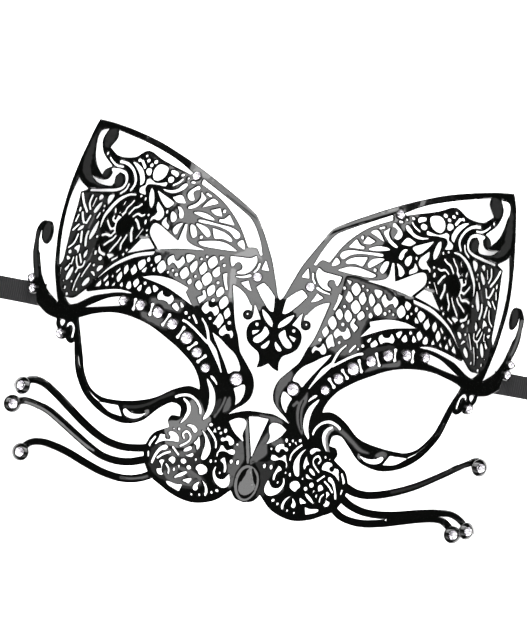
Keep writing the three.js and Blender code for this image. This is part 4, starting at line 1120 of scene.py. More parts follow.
class WaveMap:
    """The shallow waves and the nose's relief on the drawing of the whole mask."""

    def __init__(self, sizes: PatternSizes) -> None:
        """Lays out the outlines.

        Args:
            sizes: Fineness of the outlines.
        """
        self.sizes = sizes
        self.waves = self._both_halves(WAVES)
        self.glints = self._both_halves(GLINTS)
        self.relief = [(any_loop(shape, sizes.line_step), way) for shape, way in NOSE_RELIEF]

    def _both_halves(self, waves: tuple[Wave, ...]) -> list[tuple[np.ndarray, np.ndarray, float]]:
        """Outline, slopes and border of each wave, once for each half that has it."""
        step = self.sizes.line_step
        return [
            (any_loop(wave.shape, step) * (side.value, 1.0), np.array(wave.tone.value), wave.softness)
            for wave in waves
            for side in wave.sides
        ]

    def share(self, drawn: np.ndarray, loop: np.ndarray, softness: float) -> np.ndarray:
        """How far each place is within an outline: smooth_step(0.5 + depth / softness).

        Args:
            drawn: Places in the drawing, in millimetres.
            loop: Points of the outline.
            softness: Width of its border.

        Returns:
            Values from 0 to 1.
        """
        near = np.all((drawn > loop.min(axis=0) - softness) & (drawn < loop.max(axis=0) + softness), axis=1)
        share = np.zeros(len(drawn))
        share[near] = smooth_step(0.5 + depth_inside(drawn[near], loop) / softness)
        return share

    def laid_over(self, drawn: np.ndarray, slopes: np.ndarray) -> np.ndarray:
        """Slopes along X and Y at places in the drawing, brought to each wave's own inside its outline."""
        for loop, wanted, softness in self.waves + self.glints:
            slopes = slopes + self.share(drawn, loop, softness)[:, None] * (wanted - slopes)
        return slopes

    def glint(self, drawn: np.ndarray) -> np.ndarray:
        """How far each place in the drawing is within a glinting edge, from 0 to 1."""
        return np.max([self.share(drawn, loop, softness) for loop, _, softness in self.glints], axis=0)

    def raised(self, drawn: np.ndarray, height: float, slope_width: float) -> np.ndarray:
        """Height of the nose's relief over the sheet, from that of a raised flat and its border's width."""
        return height * sum(way * self.share(drawn, loop, slope_width) for loop, way in self.relief)

    def border_points(self) -> np.ndarray:
        """Points along both sides of every border that is finer than the mesh.

        Returns:
            Places in millimetres, none closer than about half a step to another.
        """
        rows = []
        for loop, _, softness in self.waves:
            if softness > self.sizes.finest_soft_border:
                continue
            closed = np.vstack([loop, loop[:1]])
            along = length_along(closed)
            wanted = np.arange(0.0, along[-1], self.sizes.border_step)
            even = np.column_stack([np.interp(wanted, along, closed[:, i]) for i in range(2)])
            tangent = unit(np.roll(even, -1, axis=0) - np.roll(even, 1, axis=0))
            across = tangent[:, ::-1] * (-softness / 2.0, softness / 2.0)
            rows += [even + across, even - across]
        points = np.vstack(rows)
        square = np.round(points / (self.sizes.border_spread * self.sizes.border_step))
        _, first = np.unique(square, axis=0, return_index=True)
        return points[first]


class CutPattern:
    """The flat sheet as a fine grid, true where there is metal."""

    def __init__(self, sizes: PatternSizes, low_x: float, high_x: float) -> None:
        """Starts without metal.

        Args:
            sizes: Fineness and reach of the grid.
            low_x: Left edge of the grid, in millimetres.
            high_x: Right edge of the grid, in millimetres.
        """
        self.sizes = sizes
        self.low = np.array([low_x, sizes.low_y])
        shape = ((sizes.high_y - sizes.low_y) / sizes.cell, (high_x - low_x) / sizes.cell)
        self.grid = np.zeros([round(n) for n in shape], dtype=bool)

    def draw(self, loop: np.ndarray, metal: bool) -> None:
        """Fills a closed outline, where the signed crossings to its left don't cancel out.

        Args:
            loop: Points of the outline, in millimetres.
            metal: True to add metal, false to cut it away.
        """
        at = (loop - self.low) / self.sizes.cell - 0.5
        to = np.roll(at, -1, axis=0)
        low_row = np.ceil(np.minimum(at[:, 1], to[:, 1])).astype(int)
        counts = np.ceil(np.maximum(at[:, 1], to[:, 1])).astype(int) - low_row
        edge = np.repeat(np.arange(len(at)), counts)
        row = np.arange(len(edge)) - np.repeat(np.cumsum(counts) - counts, counts) + low_row[edge]
        share = (row - at[edge, 1]) / (to[edge, 1] - at[edge, 1])
        col = np.ceil(at[edge, 0] + share * (to[edge, 0] - at[edge, 0])).astype(int)
        kept = (row >= 0) & (row < self.grid.shape[0])
        row, col, edge = row[kept], np.clip(col[kept], 0, self.grid.shape[1]), edge[kept]
        top, left = row.min(), col.min()
        toggles = np.zeros((row.max() - top + 1, col.max() - left + 1), dtype=np.int32)
        np.add.at(toggles, (row - top, col - left), np.where(to[edge, 1] > at[edge, 1], 1, -1))
        inside = np.cumsum(toggles, axis=1)[:, :-1] != 0
        window = self.grid[top : row.max() + 1, left : left + inside.shape[1]]
        window[inside] = metal

    def mirrored(self) -> "CutPattern":
        """Both halves from the right one.

        Returns:
            A pattern from edge to edge.
        """
        sizes = self.sizes
        whole = CutPattern(sizes, -sizes.half_width, sizes.half_width)
        half = self.grid[:, round(sizes.overlap / sizes.cell) :]
        whole.grid = np.concatenate([half[:, ::-1], half], axis=1)
        return whole

    def blurred(self) -> np.ndarray:
        """The grid as shares of metal, softened by passes of the weights 1, 2, 1.

        The paint lies thicker on the lower part of the mask, which narrows its cuts a little: the share gains
        gain * smooth step of (top - y) / rise. It is thinner on the hatched panels and on the net, where the
        share drops within windows with soft sides.

        Returns:
            Values on the same grid, with the metal's edge where they pass a half.
        """
        share = self.grid.astype(np.float32)
        for axis in (0, 1) * self.sizes.smoothings:
            share = (np.roll(share, 1, axis) + 2.0 * share + np.roll(share, -1, axis)) / 4.0
        sizes = self.sizes
        y = self.low[1] + sizes.cell * (np.arange(len(share)) + 0.5)
        x = np.abs(self.low[0] + sizes.cell * (np.arange(share.shape[1]) + 0.5))
        thicker = smooth_step((sizes.paint_top_y - y) / sizes.paint_rise)
        gain = sizes.paint_gain * thicker[:, None] * np.ones_like(x)
        for *reach, change in sizes.thin_areas:
            across, up = (
                smooth_step((value - low) / sizes.thin_fade) * smooth_step((high - value) / sizes.thin_fade)
                for value, (low, high) in zip((x, y), reach)
            )
            gain += change * up[:, None] * across
        return share + gain.astype(np.float32)

    def to_drawing(self, grid_points: np.ndarray) -> np.ndarray:
        """Places in the drawing of points given in columns and rows."""
        return self.low + (grid_points + 0.5) * self.sizes.cell


@dataclass(frozen=True)
class MaskPattern:
    """Draws the mask's own cut pattern, with metal under the crystals' cups."""

    sizes: PatternSizes
    crystals: CrystalSizes

    def half(self) -> CutPattern:
        """The pattern of one half without its whiskers.

        Returns:
            The half's grid.
        """
        step = self.sizes.line_step
        pattern = CutPattern(self.sizes, -self.sizes.overlap, self.sizes.half_width)
        pattern.draw(self._from_middle(HALF_EDGE), True)
        for area, cuts in HALF_CUTS.items():
            for cut in cuts:
                pattern.draw(outline_loop(cut, step), False)
            LOG.info("cut pattern, %s: %d outlines", area, len(cuts))
        for opening in MIDDLE_OPENINGS:
            pattern.draw(self._from_middle(opening), False)
        for stroke in HALF_STROKES:
            pattern.draw(stroke_loop(stroke, step), False)
        for place in HALF_ROUNDS:
            pattern.draw(round_loop(place), False)
        for ends in BROW_BONES:
            pattern.draw(bone_loop(ends), False)
        for stroke in ADDED_STROKES:
            pattern.draw(stroke_loop(stroke, step), True)
        for place in (*ADDED_ROUNDS, *self._seats()):
            pattern.draw(round_loop(place), True)
        pattern.draw(round_loop(CURL_HOLE), False)
        return pattern

    def _from_middle(self, points: tuple) -> np.ndarray:
        """Closes an outline that starts and ends on the middle line, a little beyond that line.

        Args:
            points: Points from middle line to middle line.

        Returns:
            Points of the closed outline.
        """
        line = outline_loop(points, self.sizes.line_step, closed=False)
        beyond = -2.0 * self.sizes.overlap
        return np.vstack([line, (beyond, line[-1, 1]), (beyond, line[0, 1])])

    def _seats(self) -> list[tuple[float, float, float]]:
        """Centre and radius of each disc of metal under the crystals' cups on one half."""
        wall = self.crystals.cup_wall
        return [(x, y, radius + wall) for stones in CRYSTALS.values() for x, y, radius in stones]

    def whole(self) -> CutPattern:
        """The pattern of both halves with the whiskers.

        Returns:
            The mask's grid, with the right half not bent yet.
        """
        pattern = self.half().mirrored()
        for side, whiskers in WHISKERS.items():
            for widths, line, cup, _ in whiskers:
                points = np.array([*line, cup], dtype=float) * (side.value, 1.0)
                pattern.draw(stroke_loop((widths, *map(tuple, points)), self.sizes.line_step), True)
                pattern.draw(round_loop((*points[-1], self.crystals.whisker_disc_radius)), True)
        return pattern


@dataclass(frozen=True)
class OutlineTracer:
    """Finds the edges of a cut pattern as closed lines with the metal on their left."""

    # For each case of metal at a cell's four corners, the side that its line starts at and the one it ends at
    STARTS: ClassVar[np.ndarray] = np.array([-1, 0, 1, 1, 2, 0, 2, 2, 3, 0, 1, 1, 3, 0, 3, -1])
    ENDS: ClassVar[np.ndarray] = np.array([-1, 3, 0, 3, 1, 3, 0, 3, 2, 2, 0, 2, 1, 1, 0, -1])
    SECOND: ClassVar[dict[int, tuple[int, int]]] = {5: (2, 1), 10: (3, 2)}

    sizes: PatternSizes

    def trace(self, share: np.ndarray) -> list[np.ndarray]:
        """Marching squares over all cells at once, with the crossings put in order by pointer doubling.

        Args:
            share: Share of metal on the grid, from 0 to 1.

        Returns:
            Closed lines, in columns and rows.
        """
        starts, ends = self._segments(share)
        order = np.argsort(starts)
        starts = starts[order]
        follow = np.searchsorted(starts, ends[order])
        points = self._crossings(share, starts)
        before = np.empty_like(follow)
        before[follow] = np.arange(len(follow))
        for _ in range(self.sizes.smoothings):
            points = (points[before] + 2.0 * points + points[follow]) / 4.0
        line, rank = self._order(follow)
        order = np.lexsort((rank, line))
        cuts = np.flatnonzero(np.diff(line[order])) + 1
        return np.split(points[order], cuts)

    def _segments(self, share: np.ndarray) -> tuple[np.ndarray, np.ndarray]:
        """Directed segments of all cells, each from one grid edge to another.

        Args:
            share: Share of metal on the grid.

        Returns:
            Number of the grid edge that each segment starts at, and of the one it ends at.
        """
        inside = share > 0.5
        case = inside[:-1, :-1] + 2 * inside[:-1, 1:] + 4 * inside[1:, 1:] + 8 * inside[1:, :-1]
        row, col = np.nonzero((case > 0) & (case < 15))
        case = case[row, col]
        node = row * share.shape[1] + col
        edges = np.stack([node, share.size + node + 1, node + share.shape[1], share.size + node], axis=1)
        cell = np.arange(len(node))
        starts = [edges[cell, self.STARTS[case]]]
        ends = [edges[cell, self.ENDS[case]]]
        for number, (start, end) in self.SECOND.items():
            starts.append(edges[case == number, start])
            ends.append(edges[case == number, end])
        return np.concatenate(starts), np.concatenate(ends)

    def _crossings(self, share: np.ndarray, edges: np.ndarray) -> np.ndarray:
        """Where the share of metal passes one half on grid edges, by straight interpolation.

        Args:
            share: Share of metal on the grid.
            edges: Numbers of the grid edges.

        Returns:
            Column and row of each crossing.
        """
        upright = edges >= share.size
        node = edges % share.size
        flat = share.ravel()
        start = flat[node]
        end = flat[node + np.where(upright, share.shape[1], 1)]
        t = (0.5 - start) / (end - start)
        row, col = np.divmod(node, share.shape[1])
        return np.stack([col + np.where(upright, 0.0, t), row + np.where(upright, t, 0.0)], axis=1)

    def _order(self, follow: np.ndarray) -> tuple[np.ndarray, np.ndarray]:
        """Line and place in line of each crossing.

        Args:
            follow: Number of the crossing that comes after each one.

        Returns:
            Lowest crossing number in each one's line, and steps from that crossing.
        """
        number = np.arange(len(follow))
        rounds = range(math.ceil(math.log2(len(follow))) + 1)
        line = number
        jump = follow
        for _ in rounds:
            line = np.minimum(line, line[jump])
            jump = jump[jump]
        head = line == number
        to_head = np.where(head, 0, 1)
        jump = np.where(head, number, follow)
        for _ in rounds:
            to_head = to_head + to_head[jump]
            jump = jump[jump]
        return line, -to_head - np.where(head, len(follow), 0)

    def thinned(self, line: np.ndarray) -> np.ndarray:
        """Fewer points on a closed line, with steps of sqrt(8 * error / curvature).

        Args:
            line: Closely spaced points, in millimetres.

        Returns:
            Points closer together in tight bends and further apart on straight stretches.
        """
        s = self.sizes
        ahead = np.roll(line, -s.bend_reach, axis=0) - line
        behind = line - np.roll(line, s.bend_reach, axis=0)
        cross = ahead[:, 0] * behind[:, 1] - ahead[:, 1] * behind[:, 0]
        turn = np.abs(np.arctan2(cross, np.sum(ahead * behind, 1)))
        reach = np.linalg.norm(ahead, axis=1) + np.linalg.norm(behind, axis=1)
        step = np.sqrt(8.0 * s.chord_error * reach / (2.0 * np.maximum(turn, s.least_turn)))
        for _ in range(s.step_smoothings):
            step = np.minimum(step, (np.roll(step, 1) + np.roll(step, -1)) / 2.0)
        step = np.clip(step, s.shortest_step, s.longest_step)
        weight = np.linalg.norm(np.roll(line, -1, axis=0) - line, axis=1) / step
        total = np.concatenate([[0.0], np.cumsum(weight)])
        count = max(s.fewest_points, round(total[-1]))
        at = np.interp(np.arange(count) * total[-1] / count, total, np.arange(len(total)))
        low = at.astype(int) % len(line)
        share = (at - np.floor(at))[:, None]
        return line[low] * (1.0 - share) + line[(low + 1) % len(line)] * share


def make_object(
    name: str,
    points: np.ndarray,
    polygons: list[np.ndarray],
    normals: np.ndarray | None = None,
    smooth: bool = True,
) -> bpy.types.Object:
    """Object from arrays.

    Args:
        name: Name of the object.
        points: Points in metres.
        polygons: Arrays of faces, each with its own number of corners.
        normals: Direction of shading at each face corner, in the faces' order.
        smooth: False for flat facets.

    Returns:
        The new object, linked to the scene.
    """
    mesh = bpy.data.meshes.new(name)
    corners = np.concatenate([p.ravel() for p in polygons]).astype(np.int32)
    counts = np.concatenate([np.full(len(p), p.shape[1]) for p in polygons])
    mesh.vertices.add(len(points))
    mesh.vertices.foreach_set("co", np.ascontiguousarray(points, dtype=np.float32).ravel())
    mesh.loops.add(len(corners))
    mesh.loops.foreach_set("vertex_index", corners)
    mesh.polygons.add(len(counts))
    mesh.polygons.foreach_set("loop_start", (np.cumsum(counts) - counts).astype(np.int32))
    mesh.polygons.foreach_set("use_smooth", np.full(len(counts), smooth))
    mesh.update(calc_edges=True)
    if normals is not None:
        mesh.normals_split_custom_set(normals.astype(np.float32))
    piece = bpy.data.objects.new(name, mesh)
    bpy.context.scene.collection.objects.link(piece)
    triangles = int(np.sum(counts - 2))
    LOG.info("%s: %d points, %d triangles", name, len(points), triangles)
    return piece


def strip(upper: np.ndarray, lower: np.ndarray) -> np.ndarray:
    """Quads between two closed rings of corner numbers, one a step round the ring."""
    return np.stack([upper, lower, np.roll(lower, -1), np.roll(upper, -1)], axis=1)


@dataclass(frozen=True)
class PlateBuilder:
    """Turns the cut pattern into the bent sheet with a narrow bevel round every front edge."""

    surface: FaceSurface
    sizes: PatternSizes
    waves: WaveMap

    def outlines(self, pattern: CutPattern) -> list[np.ndarray]:
        """Closed edge lines of the pattern.

        Args:
            pattern: The mask's grid.

        Returns:
            Lines in millimetres, without specks.
        """
        tracer = OutlineTracer(self.sizes)
        lines = [pattern.to_drawing(line) for line in tracer.trace(pattern.blurred())]
        areas = [np.sum(p[:, 0] * np.roll(p[:, 1], -1) - np.roll(p[:, 0], -1) * p[:, 1]) / 2.0 for p in lines]
        LOG.info("outlines: %d, metal %.1f cm2", len(lines), sum(areas) / 100.0)
        smallest = self.sizes.smallest_area
        return [tracer.thinned(line) for line, area in zip(lines, areas) if abs(area) > smallest]

    def inner_points(self, pattern: CutPattern) -> np.ndarray:
        """Points well inside the metal: the waves' borders, and a grid of even triangles between them.

        Args:
            pattern: The mask's grid.

        Returns:
            Places in millimetres.
        """
        s = self.sizes
        clear = pattern.grid.copy()
        free = np.ones_like(clear)
        border = self.waves.border_points()
        for number in range(s.inner_margin_cells):
            if number == s.border_margin_cells:
                col, row = ((border - pattern.low) / s.cell).astype(int).T
                kept = clear[row, col]
                border, free[row[kept], col[kept]] = border[kept], False
            for axis in (0, 1):
                clear &= np.roll(clear, 1, axis) & np.roll(clear, -1, axis)
        for _ in range(s.border_gap_cells):
            for axis in (0, 1):
                free &= np.roll(free, 1, axis) & np.roll(free, -1, axis)
        step = round(s.inner_step / s.cell)
        row, col = np.mgrid[0 : clear.shape[0] : step, 0 : clear.shape[1] - step : step]
        col = col + (row // step % 2) * (step // 2)
        kept = clear[row, col] & free[row, col]
        grid = pattern.to_drawing(np.stack([col[kept], row[kept]], axis=1).astype(float))
        LOG.info("inner points: %d on borders, %d between", len(border), len(grid))
        return np.vstack([border, grid])

    def metal_faces(
        self, pattern: CutPattern, flat: np.ndarray, after: np.ndarray, faces: np.ndarray
    ) -> np.ndarray:
        """Triangles on metal: those on the metal's side of an edge line, or with metal at their middle.

        Args:
            pattern: The mask's grid.
            flat: Places of all corners, those of the edge lines first.
            after: Number of the next corner on the edge line.
            faces: Triangles over the whole area.

        Returns:
            The triangles kept.
        """
        following = np.append(after, np.full(len(flat) - len(after), -1))
        ends = np.roll(faces, -1, axis=1)
        ahead = np.any(following[faces] == ends, axis=1)
        against = np.any(following[ends] == faces, axis=1)
        middle = (flat[faces].mean(axis=1) - pattern.low) / self.sizes.cell
        col, row = middle.astype(int).T
        return faces[ahead | (~against & pattern.grid[row, col])]

    def bevel_widths(self, pattern: CutPattern, edge: np.ndarray, outward: np.ndarray) -> np.ndarray:
        """Width of the bevel at each point of the edge lines, held back on narrow strips of metal.

        The strip's half width is the greatest distance from any opening that is met on a walk inwards.

        Args:
            pattern: The mask's grid.
            edge: Places on the edge lines, in millimetres.
            outward: Direction out of the metal at each of them.

        Returns:
            Widths in millimetres.
        """
        cell = self.sizes.cell
        widest = self.surface.sizes.edge_bevel
        count = round(widest / cell)
        across, up = np.mgrid[-count : count + 1, -count : count + 1]
        near = np.hypot(across, up) <= count
        half = np.zeros(len(edge))
        for step in range(1, count + 1):
            col, row = ((edge - step * cell * outward - pattern.low) / cell).astype(int).T
            metal = pattern.grid[row[:, None] + up[near], col[:, None] + across[near]]
            away = np.where(metal, widest, np.hypot(across, up)[near] * cell)
            half = np.maximum(half, np.min(away, axis=1))
        return np.maximum(self.surface.sizes.bevel_share * half, self.surface.sizes.least_bevel)

    @staticmethod
    def _neighbours(lines: list[np.ndarray]) -> tuple[np.ndarray, np.ndarray]:
        """Numbers of the points before and after each point of the edge lines.

        Args:
            lines: Closed lines, with their points numbered through from the first line to the last.

        Returns:
            Numbers before, and numbers after.
        """
        sizes = np.array([len(line) for line in lines])
        starts = np.cumsum(sizes) - sizes
        after = np.arange(1, sizes.sum() + 1)
        after[starts + sizes - 1] = starts
        before = np.empty_like(after)
        before[after] = np.arange(len(after))
        return before, after

    def _triangles(self, flat: np.ndarray, after: np.ndarray) -> np.ndarray:
        """Triangles over the whole area, with every step of the edge lines as a side of one.

        Args:
            flat: Places of all corners, those of the edge lines first.
            after: Number of the next corner on the edge line.

        Returns:
            Corner numbers of each triangle.
        """
        links = np.stack([np.arange(len(after)), after], axis=1).tolist()
        solved = delaunay_2d_cdt([tuple(p) for p in flat.tolist()], links, [], 0, self.sizes.merge_gap)
        if len(solved[0]) != len(flat):
            LOG.info("triangulation: %d points from %d", len(solved[0]), len(flat))
        return np.array(solved[2])

    def _layers(self, drawn: np.ndarray, edge: np.ndarray, flat: np.ndarray, bevel: np.ndarray) -> np.ndarray:
        """Points of the front, of the bevel's lower edge and of the back.

        Args:
            drawn: Places of the front in the drawing.
            edge: Places on the edge lines.
            flat: Places of the back.
            bevel: Width of the bevel at each place on the edge lines.

        Returns:
            Points in the record's frame, in metres.
        """
        s = self.surface.sizes
        front, rim, back = (bend_right_half(places).T for places in (drawn, edge, flat))
        relief = self.waves.raised(drawn, s.relief_height, s.relief_slope)
        return np.vstack([
            self.surface.place(*front, -relief),
            self.surface.place(*rim, bevel * s.bevel_fall),
            self.surface.place(*back, s.sheet_thickness),
        ])

    def _bevel_normals(self, drawn: np.ndarray, level: np.ndarray, outward: np.ndarray) -> np.ndarray:
        """Direction that the bevel's shading looks in: the front's, turned down outwards.

        How steep it gets over the drawing's plane is kept within limits. A glinting edge isn't turned at all.

        Args:
            drawn: Places along the bevel's upper edge, in the drawing.
            level: Direction of the front's shading at them.
            outward: Direction out of the metal at them.

        Returns:
            One unit vector a place.
        """
        s = self.surface.sizes
        out = np.column_stack([outward, np.zeros(len(outward))])
        lean = np.sum(out * level, axis=1, keepdims=True)
        away = unit(out - lean * level)
        lean = lean[:, 0] / level[:, 2]
        slope = np.clip(lean + s.bevel_fall, s.shallowest_bevel, s.steepest_bevel)
        fall = np.maximum((slope - lean) / (1.0 + slope * lean), 0.0)
        fall *= 1.0 - self.waves.glint(drawn)
        return unit(level + fall[:, None] * away)

    def build(self, pattern: CutPattern) -> bpy.types.Object:
        """The sheet as one closed mesh: front, bevel, cut edge and back.

        Args:
            pattern: The mask's grid.

        Returns:
            The finished object.
        """
        lines = self.outlines(pattern)
        edge = np.vstack(lines)
        inner = self.inner_points(pattern)
        flat = np.vstack([edge, inner])
        before, after = self._neighbours(lines)
        faces = self.metal_faces(pattern, flat, after, self._triangles(flat, after))
        tangent = unit(edge[after] - edge[before])
        outward = tangent[:, ::-1] * (1.0, -1.0)
        bevel = self.bevel_widths(pattern, edge, outward)
        for _ in range(self.sizes.smoothings):
            bevel = (bevel[before] + 2.0 * bevel + bevel[after]) / 4.0
        drawn = np.vstack([edge - bevel[:, None] * outward, inner])
        facing = self.surface.shading_normal(bend_right_half(drawn), drawn, self.waves)
        bevelled = self._bevel_normals(drawn[: len(edge)], facing[: len(edge)], outward)
        ring = np.arange(len(edge))
        upper = np.stack([ring, ring + len(flat), after + len(flat), after], axis=1)
        side = np.stack([ring, ring + len(edge), after + len(edge), after], axis=1) + len(flat)
        back = faces[:, ::-1] + len(flat) + len(edge)
        edge_normals = np.stack([bevelled, bevelled, bevelled[after], bevelled[after]], axis=1)
        normals = np.vstack([
            facing[faces].reshape(-1, 3),
            edge_normals.reshape(-1, 3),
            edge_normals.reshape(-1, 3),
            -facing[faces[:, ::-1]].reshape(-1, 3),
        ])
        points = self._layers(drawn, edge, flat, bevel)
        return make_object("sheet", points, [faces, upper, side, back], normals)


def turned(points: np.ndarray, place: np.ndarray, normal: np.ndarray) -> np.ndarray:
    """Points of a small part with Z along its own axis, stood at a place with that axis along the normal."""
    across = unit(np.cross((0.0, 1.0, 0.0), normal))
    return place + points @ np.stack([across, np.cross(normal, across), normal])


@dataclass
class CrystalBuilder:
    """Makes the stones, and collects the metal cups round them."""

    surface: FaceSurface
    sizes: CrystalSizes
    cup_points: list[np.ndarray] = field(default_factory=list)
    cup_faces: list[np.ndarray] = field(default_factory=list)

    def seat(
        self, place: np.ndarray, radius: float, lean: float | None = None
    ) -> tuple[np.ndarray, np.ndarray]:
        """Where a stone's back is, clear of the bent metal under it.

        Args:
            place: Centre in the drawing, in millimetres.
            radius: Radius of the stone.
            lean: How far its axis leans along X, in radians, where it doesn't stand square on the sheet.

        Returns:
            Point in metres, and the direction of the stone's axis.
        """
        normal = self.surface.normal(place[:1], place[1:])[0]
        reach = radius
        if lean is not None:
            normal = np.array([math.sin(lean), 0.0, math.cos(lean)])
            reach = self.sizes.whisker_cup_radius
        ring = round_loop((*place, reach))
        away = np.column_stack([ring - place, self.surface.height(*ring.T) - self.surface.height(*place)])
        clearance = self.sizes.seat_gap + max(0.0, float(np.max(away @ normal)))
        point = self.surface.place(place[:1], place[1:], 0.0)[0]
        if lean is None:
            return point + clearance * MM * normal, normal
        return point + (clearance * MM / normal[2]) * np.array([0.0, 0.0, 1.0]), normal

    def stone(self, name: str, seat: tuple[np.ndarray, np.ndarray], radius: float) -> bpy.types.Object:
        """A round brilliant with a shallow back: table, stars, kites, girdle and back facets.

        Args:
            name: Name of the CAD node that it takes the place of.
            seat: Point under its back, and the direction of its axis.
            radius: Radius of the stone.

        Returns:
            The finished object, with its back facets on the second material.
        """
        s = self.sizes
        n = s.mains
        slope = (s.height - s.girdle_high) / (1.0 - s.table)
        kite_height = s.height - slope * (s.kite * math.cos(math.pi / n) - s.table)
        rings = (
            (s.table, s.height, n, 0.0),
            (s.kite, kite_height, n, 0.5),
            (1.0, s.girdle_high, 2 * n, 0.0),
            (1.0, s.girdle_low, 2 * n, 0.0),
        )
        points = []
        for ring_radius, height, count, shift in rings:
            angle = 2.0 * math.pi * (np.arange(count) + shift) / count
            ring = [ring_radius * np.cos(angle), ring_radius * np.sin(angle), np.full(count, height)]
            points.append(np.column_stack(ring))
        points.append(np.zeros((1, 3)))
        k = np.arange(n)
        table, kite, high, low = k, n + k, 2 * n + np.arange(2 * n), 4 * n + np.arange(2 * n)
        stars = np.stack([table, kite, np.roll(table, -1)], axis=1)
        kites = np.stack([table, np.roll(kite, 1), high[::2], kite], axis=1)
        halves = np.concatenate([
            np.stack([kite, high[::2], high[1::2]], axis=1),
            np.stack([kite, high[1::2], np.roll(high[::2], -1)], axis=1),
        ])
        girdle = strip(high, low)
        base = np.stack([np.roll(low, -1), low, np.full(2 * n, 6 * n)], axis=1)
        spot = turned(np.vstack(points) * radius * MM, *seat)
        facets = [table[None, :], stars, kites, halves, girdle, base]
        piece = make_object(f"{name}_stone", spot, facets, smooth=False)
        index = np.zeros(len(piece.data.polygons), dtype=np.int32)
        index[-2 * n :] = 1
        piece.data.polygons.foreach_set("material_index", index)
        return piece

    def cup(self, seat: tuple[np.ndarray, np.ndarray], radius: float, wall: float, depth: float) -> None:
        """Adds the ring of metal round a stone: a rounded rim swept round the stone's axis.

        Args:
            seat: Point under the stone's back, and the direction of its axis.
            radius: Radius of the stone.
            wall: Width of the ring.
            depth: How far it reaches down beyond the gap under the stone.
        """
        s = self.sizes
        top = s.cup_height * radius
        low = -s.seat_gap - depth
        inner = radius + s.clearance
        rim = [(radius + out * wall, top - down * wall) for out, down in s.cup_rim]
        profile = np.array([(radius + wall, low), *rim, (inner, top - s.cup_inner_drop * wall), (inner, low)])
        count = s.cup_sides
        angle = 2.0 * math.pi * np.arange(count) / count
        ring = np.stack([np.cos(angle), np.sin(angle)], axis=1)
        across = profile[:, 0, None, None] * ring[None]
        height = np.broadcast_to(profile[:, 1, None, None], (len(profile), count, 1))
        points = np.concatenate([across, height], axis=2).reshape(-1, 3) * MM
        first = sum(len(p) for p in self.cup_points)
        number = first + np.arange(len(profile) * count).reshape(len(profile), count)
        following = np.roll(number, -1, axis=0)
        quads = [strip(following[i], number[i]) for i in range(len(profile))]
        self.cup_points.append(turned(points, *seat))
        self.cup_faces.append(np.vstack(quads))

    def cups(self) -> bpy.types.Object:
        """All cups as one object."""
        return make_object("cups", np.vstack(self.cup_points), [np.vstack(self.cup_faces)])

    def build_side(self, side: Side) -> list[bpy.types.Object]:
        """Stones of one half, with their cups added to the collection.

        Args:
            side: Which half.

        Returns:
            The stones.
        """
        stones = []
        for area, places in CRYSTALS.items():
            for index, (x, y, radius) in enumerate(places):
                suffix = f"_{index + 1}" if len(places) > 1 else ""
                place = bend_right_half(np.array([[side.value * x, y]], dtype=float))[0]
                seat = self.seat(place, radius)
                node = f"{side.label}_{area}_crystal{suffix}"
                stones.append(self._set(node, seat, radius, self.sizes.cup_wall, self.sizes.cup_depth))
        for index, (_, _, cup, lean) in enumerate(WHISKERS[side]):
            radius = self.sizes.whisker_radius
            wall = self.sizes.whisker_cup_radius - radius
            place = np.array([side.value * cup[0], cup[1]], dtype=float)
            seat = self.seat(place, radius, math.radians(side.value * lean))
            node = f"{side.label}_whisker_crystal_{index + 1}"
            stones.append(self._set(node, seat, radius, wall, self.sizes.whisker_cup_depth))
        return stones

    def _set(
        self, node: str, seat: tuple[np.ndarray, np.ndarray], radius: float, wall: float, depth: float
    ) -> bpy.types.Object:
        """One stone in its cup, in place of its CAD node.

        Args:
            node: Name of the CAD node.
            seat: Point under the stone's back, and the direction of its axis.
            radius: Radius of the stone.
            wall: Width of the cup's ring.
            depth: How far the cup reaches down beyond the gap under the stone.

        Returns:
            The stone.
        """
        piece = self.stone(node, seat, radius)
        self.cup(seat, radius, wall, depth)
        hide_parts(node)
        return piece


